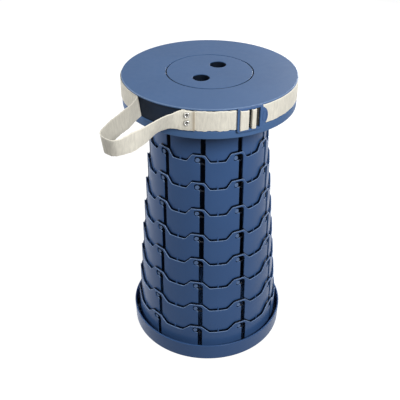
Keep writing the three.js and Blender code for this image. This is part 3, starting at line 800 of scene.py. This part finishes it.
def top_line(k):
    """The wavy top edge of one panel of a ring, from right to left, round its ear's middle."""
    half = half_panel(k)
    foot = half * (1 - LOW_FLAT_SHARE)
    low = RING_FLOORS[k] + PITCH + LAP
    high = low + EAR_RISE
    ear = EAR_WIDTH / 2
    corners = [(half, low, 0), (foot, low, EAR_ROUND), (ear, high, EAR_ROUND), (-ear, high, EAR_ROUND),
               (-foot, low, EAR_ROUND), (-half, low, 0)]
    return spaced(rounded(corners, closed=False), FACE_STEP, closed=False)


def window_line(k):
    """The hook window: a pocket on the left that opens over a hump into a straight slot, clockwise."""
    floor = RING_FLOORS[k]
    half = SLOT_WIDTH / 2
    middle = floor + PITCH + PEG_HEIGHT
    roof = window_roof(k)
    left = -POCKET_OFFSET - POCKET_RADIUS
    corners = [
        (half, floor + SLOT_FOOT_HEIGHT, SLOT_ROUND),
        (half, roof, ARCH_ROUND),
        (left, roof, POCKET_RADIUS),
        (left, middle - POCKET_RADIUS, POCKET_RADIUS),
        (-half - POCKET_HUMP, middle - POCKET_RADIUS + POCKET_HUMP, SLOT_ROUND),
        (-half, middle - POCKET_RADIUS, SLOT_ROUND),
        (-half, floor + SLOT_FOOT_HEIGHT + SLOT_FOOT_SLANT, SLOT_ROUND),
    ]
    shifted = [(u + EAR_OFFSET, z, radius) for u, z, radius in corners]
    return spaced(rounded(shifted), FACE_STEP)[::-1]


def add_ring_panel(shape, k, azimuth):
    """One panel of a ring: outer face, window, rims, and the inner face with the pegs' track."""
    radius = ring_radius(k)
    inner = radius - RING_WALL
    floor = RING_FLOORS[k]
    half = half_panel(k)

    def at(u, z, r):
        return polar(azimuth + arc_angle(u, radius), r, z)

    def row(line, r):
        return [at(u, z, r) for u, z in line]

    def rim(line, bevel, closed=False):
        return [row(inset(line, offset, closed), radius - depth) for offset, depth in bevel_rows(bevel)]

    top, window = top_line(k), window_line(k)
    track_left = EAR_OFFSET - POCKET_OFFSET - PEG_ROOM
    track_right = EAR_OFFSET + SLOT_WIDTH / 2 + GAP
    roof = window_roof(k) + GAP
    ends = [np.array([u, floor]) for u in (-half, track_left, track_right, half)]
    stretches = [spaced(pair, FACE_STEP, closed=False) for pair in zip(ends, ends[1:])]
    bottom = stretches[0] + stretches[1][1:] + stretches[2][1:]
    seam = [np.array([half, z]) for z in np.linspace(floor, top[0][1], SEAM_POINTS)[1:-1]]
    other_seam = [np.array([-half, p[1]]) for p in reversed(seam)]

    # Outer face with its window, and the rounded rims round it
    outline = inset(bottom, RIM_BEVEL, closed=False) + seam + inset(top, RIM_BEVEL, closed=False) + other_seam
    points, triangles = fill([outline, inset(window, WINDOW_BEVEL)], FACE_STEP)
    shape.add(row(points, radius), triangles)
    shape.skin(rim(bottom, RIM_BEVEL))
    chamfer = inset(top, RIM_CHAMFER_DEPTH, closed=False)
    shape.skin(rim(top, RIM_BEVEL) + [row(top, inner + RIM_CHAMFER_WIDTH), row(chamfer, inner)])
    shape.skin(rim(window, WINDOW_BEVEL, True) + [row(window, radius - SKIN)], closed=True)

    # Track: its floor behind the skin, its three sides, and the inner face round it
    track = spaced([np.array(p, float) for p in (
        (track_left, floor), (track_left, roof), (track_right - TRACK_CORNER, roof),
        (track_right, roof - TRACK_CORNER), (track_right, floor))], HIDDEN_STEP, closed=False)
    points, triangles = fill([stretches[1] + track[::-1][1:-1], window], HIDDEN_STEP)
    shape.add(row(points, radius - SKIN), triangles)
    shape.skin([row(track, radius - SKIN), row(track, inner)])
    outline = stretches[0][:-1] + track + stretches[2][1:] + seam + chamfer + other_seam
    points, triangles = fill([outline], HIDDEN_STEP)
    shape.add(row(points, inner), triangles)

    # Lower edge, whose corners at the track also hold the skin's inner corner
    for n, stretch in enumerate(stretches):
        depth = SKIN if n == 1 else RING_WALL
        outer_row, inner_row = row(stretch, radius - RIM_BEVEL), row(stretch, radius - depth)
        count = len(stretch)
        corner = 2 * count
        faces = [[i, i + 1, count + i + 1, count + i] for i in range(count - 1)]
        if n == 0:
            faces[-1].insert(2, corner)
        if n == 2:
            faces[0].append(corner)
        meeting = at(track_left if n == 0 else track_right, floor, radius - SKIN)
        shape.add(outer_row + inner_row + [meeting], faces)


def edge_height(azimuth, k):
    """Height of ring k's wavy top edge above its lower edge, at an azimuth."""
    radius = ring_radius(k)
    turn = from_nearest(azimuth, ear_azimuth(0, k))
    foot = half_panel(k) * (1 - LOW_FLAT_SHARE)
    share = (foot - abs(radians(turn) * radius)) / (foot - EAR_WIDTH / 2)
    return PITCH + LAP + EAR_RISE * min(max(share, 0), 1)


def ring_shade(k, r, z, azimuth):
    """Painted shade: how deep a point lies in the gap behind the next ring, in shares of the shade's fade, or
    a fixed painted shade on the inner face.
    """
    if r < ring_radius(k) - RING_WALL + PAINTED_LIGHT_MARGIN:
        return INSIDE_SHADE if k else 0
    if k == RING_COUNT or r > ring_radius(k) + PAINTED_LIGHT_MARGIN:
        return 0
    return (edge_height(azimuth, k + 1) - PITCH + SHADE_RISE - (z - RING_FLOORS[k])) / SHADE_FADE


def ring_highlight(k, r, z, azimuth):
    """How much painted highlight a point of a ring takes: pegs a little, the top edge and each pocket's hump
    fully.
    """
    radius, height = ring_radius(k), z - RING_FLOORS[k]
    if r > radius + RIB_REACH + PEG_CLEAR:
        return PEG_HIGHLIGHT
    across = radians(from_nearest(azimuth, slot_azimuth(0))) * radius + SLOT_WIDTH / 2
    hump = PITCH + PEG_HEIGHT - POCKET_RADIUS + POCKET_HUMP / 2
    beside_hump = -POCKET_HUMP - HUMP_HIGHLIGHT_LEFT < across < HUMP_HIGHLIGHT_RIGHT
    at_hump = beside_hump and abs(height - hump) < HUMP_HIGHLIGHT_HALF
    on_edge = radius - RIM_BEVEL - PAINTED_LIGHT_MARGIN < r < radius - PAINTED_LIGHT_MARGIN
    return on_edge and (at_hump or height > edge_height(azimuth, k) - HIGHLIGHT_REACH)


def make_ring(k):
    shape = Shape()
    for i in range(SLOT_COUNT):
        add_ring_panel(shape, k, ear_azimuth(i, k))
        add_peg(shape, i, k)
        add_rib(shape, i, k)
    name = "ring_%d" % k
    body = "base" if k == RING_COUNT else name
    # Marks for painted shade in the gap behind the next ring and on the inner face, and for painted
    # highlights on edges, humps and pegs
    make_piece("tube_" + name, shape, body, "ring_plastic", name,
               sunken=lambda *place: ring_shade(k, *place), worn=lambda *place: ring_highlight(k, *place))


def screw_places():
    return [polar(SCREW_AZIMUTH + 360 / SCREW_COUNT * i, SCREW_CIRCLE, 0) for i in range(SCREW_COUNT)]


def make_collar():
    """The innermost ring, plain, with an inner flange held up by screws."""
    r1, r0 = ring_radius(0), COLLAR_INNER
    low, top = RING_FLOORS[0], PLATE_LOW - GAP
    flange_top = RIB_LOW - GAP
    flange_low = flange_top - COLLAR_FLANGE_THICKNESS
    flange = r0 - COLLAR_FLANGE_WIDTH
    profile = rounded([
        (r0, low, 0.5), (r1, low, RIM_BEVEL), (r1, top, 0.3), (r0, top, 0.3), (r0, flange_top, 0.5),
        (flange, flange_top, 0.4), (flange, flange_low, 0.4), (r0, flange_low, 1)])
    shape = Shape()
    shape.turned(profile, ROUND_SEGMENTS)
    for i in range(SLOT_COUNT):
        add_peg(shape, i, 0)
        add_rib(shape, i, 0)
    # Painted shade in the gap behind the first ring
    make_piece("inner_collar", shape, "seat", "ring_plastic", "seat_collar",
               sunken=lambda *place: ring_shade(0, *place))


def make_screws():
    """Pan-head screws seen from below, each with a cross recess."""
    low, high = (corner[2] for corner in box_mm("collar_screw_1"))
    seat = RIB_LOW - 2 * GAP - COLLAR_FLANGE_THICKNESS
    head, shank, recess, depth = 2.8, 1.45, 0.9, 0.8
    profile = rounded([
        (0, low + depth, 0), (recess, low + depth, 0), (recess, low, 0), (head, low, 1.2),
        (head, seat, 0.2), (shank, seat, 0), (shank, high, 0.4), (0, high, 0)])
    for i, (x, y, _) in enumerate(screw_places(), 1):
        shape = Shape()
        shape.turned(profile, SMALL_SEGMENTS, (x, y, 0))
        make_piece("screw_%d" % i, shape, "seat", "screw_steel", "collar_screw_%d" % i)


def make_tray():
    """A shallow dish with a leaning wall, a rounded rim and hooks over the lowest ring's pegs."""
    foot, inner = SEAT_RADIUS - TRAY_FOOT_INSET, SEAT_RADIUS - TRAY_WALL
    profile = rounded([
        (0, 0, 0), (foot, 0, 1.6), (SEAT_RADIUS, TRAY_HEIGHT, 0.8), (inner, TRAY_HEIGHT, 0.6),
        (inner - TRAY_FOOT_INSET, TRAY_FLOOR, 1.5), (0, TRAY_FLOOR, 0)])
    shape = Shape()
    shape.turned(profile, ROUND_SEGMENTS)
    low = RING_FLOORS[RING_COUNT] + PEG_HEIGHT + PEG_RADIUS + GAP
    half = TRAY_HOOK_WIDTH / 2
    outline = rectangle(-half, half, low, low + TRAY_HOOK_THICKNESS, 0.4, 0.4, 0.8, 0.8)
    tip = OUTER_RADIUS + GAP + TRAY_HOOK_GAP
    for i in range(TRAY_HOOK_COUNT):
        azimuth = peg_azimuth(i * SLOT_COUNT / TRAY_HOOK_COUNT, RING_COUNT)
        shape.block(outline, azimuth, tip, inner + TRAY_WALL / 2, 0.2)
    make_piece("tray", shape, "base", "ring_plastic", "base_tray")


def make_seat():
    """The seat's plate, strap groove and flange, with bosses and ribs underneath."""
    root = LID_OPENING + LEDGE_THICKNESS
    profile = rounded([
        (LEDGE_INNER, LEDGE_TOP - LEDGE_THICKNESS, 0.3), (root, LEDGE_TOP - LEDGE_THICKNESS, 0.3),
        (root, PLATE_LOW, 0.3), (SKIRT_INNER, PLATE_LOW, 1),
        (SKIRT_INNER, FLANGE_LOW, 0.6), (SEAT_RADIUS, FLANGE_LOW, 1),
        (SEAT_RADIUS, GROOVE_FLOOR, 0.9), (GROOVE_RADIUS, GROOVE_FLOOR, 0.4),
        (GROOVE_RADIUS, GROOVE_TOP, 0.3), (SEAT_RADIUS, GROOVE_TOP, 0.7),
        (SEAT_RADIUS, SEAT_TOP, 1.7), (LID_OPENING, SEAT_TOP, 0.35),
        (LID_OPENING, LEDGE_TOP, 0.2), (LEDGE_INNER, LEDGE_TOP, 0.3)])
    shape = Shape()
    shape.turned(profile, ROUND_SEGMENTS)
    fused = PLATE_LOW + SEAT_PLATE / 2
    half = SEAT_RIB_WIDTH / 2
    outline = rectangle(-half, half, RIB_LOW, fused, 0)
    for i in range(SCREW_COUNT):
        azimuth = SCREW_AZIMUTH + 360 / SCREW_COUNT * (i + 0.5)
        shape.block(outline, azimuth, root - 1, COLLAR_INNER - 2 * GAP, 0.2)
    boss = rectangle(0, BOSS_RADIUS, RIB_LOW, fused, 0, 0.4, 0, 0)
    for x, y, _ in screw_places():
        shape.turned(boss, SMALL_SEGMENTS, (x, y, 0))

    # Painted shade in the strap groove, and inside the lid's opening below the top
    def sunken(r, z, azimuth):
        if GROOVE_FLOOR - WELD < z < GROOVE_TOP + WELD and abs(r - GROOVE_RADIUS) < GROOVE_NEAR:
            return GROOVE_SHADE
        return r < LID_OPENING + SEAM_NEAR and z < SEAT_TOP - SEAM_SHALLOW - SEAM_FADE

    # Painted highlight along the seat's rounded top edge
    def worn(r, z, azimuth):
        return SEAT_EDGE_HIGHLIGHT * (r > SEAT_RADIUS - SEAT_EDGE and z > SEAT_TOP - SEAT_EDGE)

    make_piece("seat", shape, "seat", "seat_plastic", "seat_shell", sunken=sunken, worn=worn)


def circle(x, y, radius, count):
    turns = [2 * pi * i / count for i in range(count)]
    return [np.array([x + radius * cos(t), y + radius * sin(t)]) for t in turns]


def make_lid():
    """The lid: a plate with two finger holes, each with a tube below it, and a skirt."""
    under = SEAT_TOP - LID_PLATE
    skirt = LEDGE_INNER - LID_SKIRT_GAP
    holes = [polar(FINGER_HOLE_AZIMUTH, side * FINGER_HOLE_SHARE * LID_RADIUS, 0) for side in (-1, 1)]
    loops = [circle(0, 0, LID_RADIUS, ROUND_SEGMENTS)]
    loops += [circle(x, y, FINGER_HOLE_RADIUS, HOLE_SEGMENTS)[::-1] for x, y, _ in holes]
    shape = Shape()
    shape.slab(lambda u, v, depth: (u, v, SEAT_TOP - depth), loops, LID_PLATE, 0.5, 0.2, LID_STEP)
    fused = under + LID_FUSE
    wall = rectangle(skirt - LID_SKIRT_WALL, skirt, LID_FOOT, fused, 0.5, 0.7, 0, 0)
    shape.turned(wall, LID_SEGMENTS)
    outer = FINGER_HOLE_RADIUS + FINGER_TUBE_WALL
    tube = rectangle(FINGER_HOLE_RADIUS, outer, LID_FOOT, fused, 0.4, 0.4, 0, 0)
    for x, y, _ in holes:
        shape.turned(tube, HOLE_SEGMENTS, (x, y, 0))

    # Painted shade growing darker downwards, quickly at the lid's rim and more slowly in the finger holes
    def sunken(r, z, azimuth):
        return (SEAT_TOP - SEAM_SHALLOW - z) / (SEAM_FADE if r > LID_RADIUS - SEAT_EDGE else HOLE_FADE)

    make_piece("lid", shape, "lid", "seat_plastic", "seat_lid", sunken=sunken)


# Webbing


def ragged(along):
    """How far the webbing's edges wander from straight at a distance along it, for a ripple of 1."""
    turn = 2 * pi * along / RIPPLE_LENGTH
    return sum(sin(turn * rate + start) * size for rate, start, size in RIPPLES)


def behind_slot(place):
    """Whether a place on the webbing lies under the buckle's last slot, where shade is painted on it."""
    azimuth = degrees(atan2(place[0], -place[1]))
    start, end = buckle_bars()["exit"]
    return start + BAR_SIDE < azimuth < end and hypot(*place[:2]) < BUCKLE_INNER


def make_webbing(name, places, acrosses, seared, ripple, nodes):
    """Flat webbing along a line of places, each with the direction of its width."""
    half, thin = WEB_WIDTH / 2, WEB_THICKNESS / 2
    section = spaced(rectangle(-half, half, -thin, thin, WEB_ROUND), WEB_SECTION_STEP)
    length = sum(norm(b - a) for a, b in zip(places, places[1:]))
    shape, rows, marks, along = Shape(), [], [], 0.0
    for i, (place, across) in enumerate(zip(places, acrosses)):
        back, ahead = places[max(i - 1, 0)], places[min(i + 1, len(places) - 1)]
        face = unit(np.cross(unit(ahead - back), across))
        along += norm(place - back)
        stretch = 1 + ripple * ragged(along) / half
        rows.append([place + across * u * stretch + face * v for u, v in section])
        burnt = max(0.0, 1 - abs(along - length) / SEARED_END) if seared else 0.0
        # Painted shade on the webbing under the buckle's last slot
        slot_shade = behind_slot(place)
        marks += [(along * MM, u * MM, burnt, v < 0, slot_shade) for u, v in section]
    shape.skin(rows, closed=True)
    count = len(section)
    shape.faces.append(tuple(range(count))[::-1])
    shape.faces.append(tuple(len(shape.points) - count + i for i in range(count)))
    marks = dict(zip(WEB_MARKS, zip(*marks)))
    obj = make_piece(name, shape, "seat", "webbing", *nodes, marks=marks)


def web_arc(start, end, radius):
    """Places along the strap's middle height, between two azimuths."""
    steps = max(1, round(abs(end - start) / ARC_WEB_STEP))
    return [on_strap(start + (end - start) * i / steps, radius) for i in range(steps + 1)]


def buckle_arc(length):
    return arc_angle(length, (BUCKLE_INNER + BUCKLE_OUTER) / 2)


def buckle_bars():
    """Where each bar and slot of the buckle starts and ends, as azimuths."""
    at, found = BUCKLE_AZIMUTH, {}
    for name, width in BUCKLE_BARS.items():
        found[name] = (at, at + buckle_arc(width))
        at += buckle_arc(width)
    return found


BAR_SIDE = buckle_arc(WEB_THICKNESS / 2 + GAP)
OVER_BAR = BUCKLE_OUTER + GAP + WEB_THICKNESS / 2
WRAP_ROUND = 1.3


def softened(places, radius):
    """A 3D line with its sharp corners rounded."""
    corners = [(*places[0], 0)]
    for back, place, ahead in zip(places, places[1:], places[2:]):
        sharp = unit(place - back) @ unit(ahead - place) < SHARP_TURN
        corners.append((*place, radius if sharp else 0))
    return rounded([*corners, (*places[-1], 0)], closed=False)


def catmull_rom(points, beyond, count):
    """A centripetal curve through points, heading for one beyond, as (place, points passed) pairs."""
    ends = [2 * points[0] - points[1], *points, beyond]
    out = []
    for n in range(count + 1):
        at = n / count * (len(points) - 1)
        i = min(int(at), len(points) - 2)
        t = at - i
        p0, p1, p2, p3 = ends[i:i + 4]
        d0, d1, d2 = (sqrt(norm(b - a)) for a, b in ((p0, p1), (p1, p2), (p2, p3)))
        m1 = (p1 - p0) / d0 - (p2 - p0) / (d0 + d1) + (p2 - p1) / d1
        m2 = (p2 - p1) / d1 - (p3 - p1) / (d1 + d2) + (p3 - p2) / d2
        m1, m2 = m1 * d1, m2 * d1
        c2, c3 = -3 * p1 + 3 * p2 - 2 * m1 - m2, 2 * p1 - 2 * p2 + m1 + m2
        out.append((p1 + m1 * t + c2 * t * t + c3 * t ** 3, at))
    return out


def slack(azimuth):
    """How far the belt stands off the groove at an azimuth."""
    azimuth = (azimuth + 180) % 360 - 180
    for start, end, most in BELT_SLACK:
        if start < azimuth < end:
            return most * sin(pi * (azimuth - start) / (end - start)) ** 2
    return 0.0


def loop_line():
    """The hand loop's route from the crease to the rivets, as places and directions of its width."""
    leave = on_strap(LOOP_EXIT_AZIMUTH, BELT_RADIUS)
    join = on_strap(LOOP_JOIN_AZIMUTH, LOOP_RADIUS)
    chord = join - leave
    away = unit(np.cross(chord, UP))
    places = [leave]
    for along, out, drop, _ in LOOP_ROUTE_SHARES:
        places.append(leave + chord * along + away * out * LOOP_REACH - UP * drop * LOOP_DROP)
    places.append(join)
    leans = [0, *(lean * LOOP_LEAN for _, _, _, lean in LOOP_ROUTE_SHARES), 0]
    beyond = on_strap(LOOP_JOIN_AZIMUTH + arc_angle(WEB_STEP, LOOP_RADIUS), LOOP_RADIUS)
    route = catmull_rom(places, beyond, LOOP_STATIONS)
    line, acrosses = [], []
    for i, (place, at) in enumerate(route):
        row = min(int(at), len(leans) - 2)
        lean = radians(leans[row] + (leans[row + 1] - leans[row]) * (at - row))
        ahead = (route[i + 1][0] if i < LOOP_STATIONS else beyond) - route[max(i - 1, 0)][0]
        outside = np.cross(UP, ahead)
        outside[2] = 0
        line.append(place)
        acrosses.append(UP * cos(lean) - unit(outside) * sin(lean))
    return line, acrosses


def slanted(places, acrosses, crease):
    """The same directions, sheared near the crease so that its foot comes forward."""
    out = []
    for place, across in zip(places, acrosses):
        near = max(0.0, 1 - norm(place - crease) / CREASE_SPREAD)
        out.append(across - sideways(LOOP_EXIT_AZIMUTH) * tan(radians(CREASE_SLANT)) * near ** 2)
    return out


def spread_bend(places, acrosses, middle):
    """The same line and directions, with the bend near a place spread over a longer stretch."""
    near = [1 - norm(place - middle) / JOIN_SOFT for place in places]
    for _ in range(JOIN_ROUNDS):
        for line in (places, acrosses):
            before = list(line)
            for i in range(1, len(line) - 1):
                if near[i] > 0:
                    average = (before[i - 1] + before[i + 1]) / 2
                    line[i] = before[i] + (average - before[i]) * near[i] ** 0.5
    return places, [unit(across) for across in acrosses]


def make_strap():
    """One webbing: over the buckle's grip bar, round the back, crease, hand loop, riveted end."""
    start, end = buckle_bars()["grip"]
    near, far = end + BAR_SIDE, start - BAR_SIDE
    tail = near - buckle_arc(WEB_THICKNESS + 2 * GAP)
    doubled = BELT_RADIUS + LAYER_STEP
    belt = [on_strap(azimuth, radius) for azimuth, radius in (
        (tail, doubled), (far, doubled), (far, OVER_BAR), (near, OVER_BAR))]
    first, last = near - 360, LOOP_EXIT_AZIMUTH - arc_angle(CREASE_REACH, BELT_RADIUS)
    steps = round((last - first) / arc_angle(WEB_STEP, BELT_RADIUS))
    for i in range(steps + 1):
        azimuth = first + (last - first) * i / steps
        belt.append(on_strap(azimuth, BELT_RADIUS + slack(azimuth)))
    belt = softened(belt, WRAP_ROUND)
    line, acrosses = loop_line()
    crease = line[0]
    kept = next(i for i, place in enumerate(line) if norm(place - crease) > CREASE_REACH)
    fold = rounded([(*belt[-1], 0), (*crease, CREASE_ROUND), (*line[kept], 0)], closed=False)[1:-1]
    joined = web_arc(LOOP_JOIN_AZIMUTH, LOOP_END_AZIMUTH, LOOP_RADIUS)[1:]
    acrosses = acrosses[kept:] + [UP] * len(joined)
    places, acrosses = spread_bend(line[kept:] + joined, acrosses, line[-1])
    places = belt + fold + places
    acrosses = slanted(places, [UP] * len(belt + fold) + acrosses, crease)
    make_webbing("strap", places, acrosses, True, LOOP_RIPPLE, ["strap_belt", "strap_hand_loop"])


def make_anchor():
    """Doubled webbing from the rivets, under the buckle's left bar, round the anchor bar and back."""
    start, end = buckle_bars()["anchor"]
    near, far = start - BAR_SIDE, end + BAR_SIDE
    line = web_arc(ANCHOR_START_AZIMUTH, near, BELT_RADIUS + LAYER_STEP)
    line += [on_strap(near, OVER_BAR), on_strap(far, OVER_BAR)]
    line += web_arc(far, ANCHOR_START_AZIMUTH, BELT_RADIUS)
    line = softened(line, WRAP_ROUND)
    make_webbing("strap_doubled_end", line, [UP] * len(line), False, FRONT_RIPPLE, ["strap_anchor"])


def make_buckle():
    """A curved plate with three slots for the webbing and a half-oval thumb tab."""
    bars = buckle_bars()
    half = WEB_WIDTH / 2 + BUCKLE_SIDE_GAP
    low, high = STRAP_MIDDLE - half, STRAP_MIDDLE + half
    length = sum(BUCKLE_BARS.values())

    def oval(u, radius_u, radius_v, start, end, count):
        turns = np.linspace(radians(start), radians(end), count)
        return [np.array([u + radius_u * cos(t), STRAP_MIDDLE + radius_v * sin(t)]) for t in turns]

    frame_line = rectangle(0, length, low - BUCKLE_RAIL, high + BUCKLE_RAIL, BUCKLE_CORNER)
    tab_line = oval(length - TAB_OVERLAP, TAB_LENGTH, TAB_HEIGHT / 2, -90, 90, 25)
    upper = [p for p in frame_line if p[1] > STRAP_MIDDLE]
    lower = [p for p in frame_line if p[1] < STRAP_MIDDLE]
    loops = [spaced(lower + tab_line + upper, BUCKLE_STEP)]
    for name in ("entry", "middle", "exit"):
        a, b = ((azimuth - BUCKLE_AZIMUTH) / buckle_arc(1) for azimuth in bars[name])
        loops.append(spaced(rectangle(a, b, low, high, 0.5), BUCKLE_STEP)[::-1])

    def on_face(rise):
        outer = BUCKLE_OUTER + rise
        return lambda u, v, depth: polar(BUCKLE_AZIMUTH + buckle_arc(u), outer - depth, v)

    shape = Shape()
    shape.slab(on_face(0), loops, BUCKLE_THICKNESS, 0.6, 0.3, BUCKLE_STEP)
    middle = length + TAB_LENGTH * TAB_RING_SHARE
    ring_u, ring_v = TAB_LENGTH * TAB_RING_SHARES[0], TAB_HEIGHT * TAB_RING_SHARES[1]
    outer_ring = oval(middle, ring_u, ring_v, 0, 350, 36)
    inner_ring = oval(middle, ring_u - TAB_RING_WIDTH, ring_v - TAB_RING_WIDTH, 0, 350, 36)[::-1]
    shape.slab(on_face(TAB_RING_RISE), [outer_ring, inner_ring], TAB_RING_RISE + TAB_RING_ROOT, 0.15, 0.05, 2)
    make_piece("buckle_frame", shape, "seat", "buckle_plastic", "buckle")


def make_rivets():
    """Rolled rivet heads with a well, outside the loop, and a washer and a spread tail in the skirt."""
    head = LOOP_RADIUS + WEB_THICKNESS / 2 + GAP
    back = SKIRT_INNER - RIVET_TAIL_GAP
    middle, half = (RIVET_HEAD_RADIUS + RIVET_WELL) / 2, (RIVET_HEAD_RADIUS - RIVET_WELL) / 2
    profile = [(0, back - RIVET_TAIL, 0), (RIVET_TAIL_RADIUS, back - RIVET_TAIL, 0.2),
               (RIVET_TAIL_RADIUS, back, 0.2), (RIVET_SHANK, back, 0), (RIVET_SHANK, head - 0.5, 0),
               (RIVET_HEAD_RADIUS, head, 0)]
    for t in np.linspace(0, pi, ROLL_STEPS):
        profile.append((middle + half * cos(t), head + ROLL_RISE + RIVET_DOME * sin(t), 0))
    floor = head - WELL_DEPTH
    profile = rounded(profile + [(RIVET_WELL * WELL_FLOOR_SHARE, floor, 0), (0, floor, 0)])
    washer = rectangle(*WASHER_RADII, back + 0.3, back + 0.9, 0, 0.1, 0.1, 0)
    for name, side in (("upper", 1), ("lower", -1)):
        z = STRAP_MIDDLE + RIVET_RAISE + side * RIVET_RISE
        shape = Shape()
        shape.turned_outward(profile, SMALL_SEGMENTS, RIVET_AZIMUTH, z)

        # Painted shade in the middle of each rivet head's well
        def well_shade_mask(r, height, azimuth):
            off = hypot(r * sin(radians(azimuth - RIVET_AZIMUTH)), height - z)
            return off < RIVET_WELL * WELL_SHADE_SHARE

        make_piece("rivet_head_" + name, shape, "seat", "rivet_steel", "rivet_" + name, recess=well_shade_mask)
        shape = Shape()
        shape.turned_outward(washer, SMALL_SEGMENTS, RIVET_AZIMUTH, z)
        make_piece("washer_" + name, shape, "seat", "rivet_steel", "rivet_washer_" + name)


make_tray()
for ring in range(RING_COUNT, 0, -1):
    make_ring(ring)
make_collar()
make_screws()
make_seat()
make_lid()
make_buckle()
make_strap()
make_anchor()
make_rivets()


# Floor, lamps and surroundings

FLOOR_HALF = 8
FLOOR_LEVEL = 0.16
FLOOR_SHADOW = 0.8
FLOOR_GLOW = 0.955
AMBIENT = 0.06
LAMP_TARGET = (0, 0, 0.25)
# Each row: name, place in metres, side in metres, power in watts
LAMPS = [
    ("key", (0.87, -1.48, 1.63), 0.8, 50),
    ("rim", (-1.86, 0.6, 0.67), 1.2, 33),
    ("back", (0.88, 1.53, 0.69), 0.7, 36),
]


def background_share(owner):
    """1 for a ray from the camera, a shine or glass, which sees the pale background, else 0."""
    paths = add_node(owner, "LightPath").outputs
    seen = maths(owner, "MAXIMUM", paths["Is Camera Ray"], paths["Is Glossy Ray"])
    return maths(owner, "MAXIMUM", seen, paths["Is Transmission Ray"])


def make_floor():
    data = bpy.data.meshes.new("floor")
    corners = [(x * FLOOR_HALF, y * FLOOR_HALF, 0) for x, y in ((-1, -1), (1, -1), (1, 1), (-1, 1))]
    data.from_pydata(corners, [], [(0, 1, 2, 3)])
    floor = new_object("floor", data)
    mat, shader = new_material("floor_white")
    seen = background_share(mat)
    grey = (FLOOR_LEVEL,) * 3
    plug(mat, shader, {
        "Base Color": mixed(mat, seen, shade(grey, 1), shade(grey, FLOOR_SHADOW)),
        "Emission Strength": maths(mat, "MULTIPLY", seen, FLOOR_GLOW),
        "Emission Color": (1, 1, 1, 1), "Roughness": 0.9, "Specular IOR Level": 0})
    data.materials.append(mat)


def make_lamp(name, place, side, power):
    data = bpy.data.lights.new(name, "AREA")
    data.shape = "RECTANGLE"
    data.size = data.size_y = side
    data.energy = power
    lamp = new_object(name, data)
    lamp.location = place
    lamp.rotation_euler = (Vector(LAMP_TARGET) - Vector(place)).to_track_quat("-Z", "Y").to_euler()


def make_world():
    world = bpy.data.worlds.new("world")
    bpy.context.scene.world = world
    world.use_nodes = True
    world.node_tree.nodes.clear()
    level = spread(world, background_share(world), AMBIENT, 1, 0, 1)
    background = add_node(world, "Background", {"Strength": level, "Color": (1, 1, 1, 1)})
    add_node(world, "OutputWorld", {"Surface": background.outputs["Background"]})


make_floor()
make_world()
for lamp_row in LAMPS:
    make_lamp(*lamp_row)
bpy.context.scene.view_settings.view_transform = "Standard"
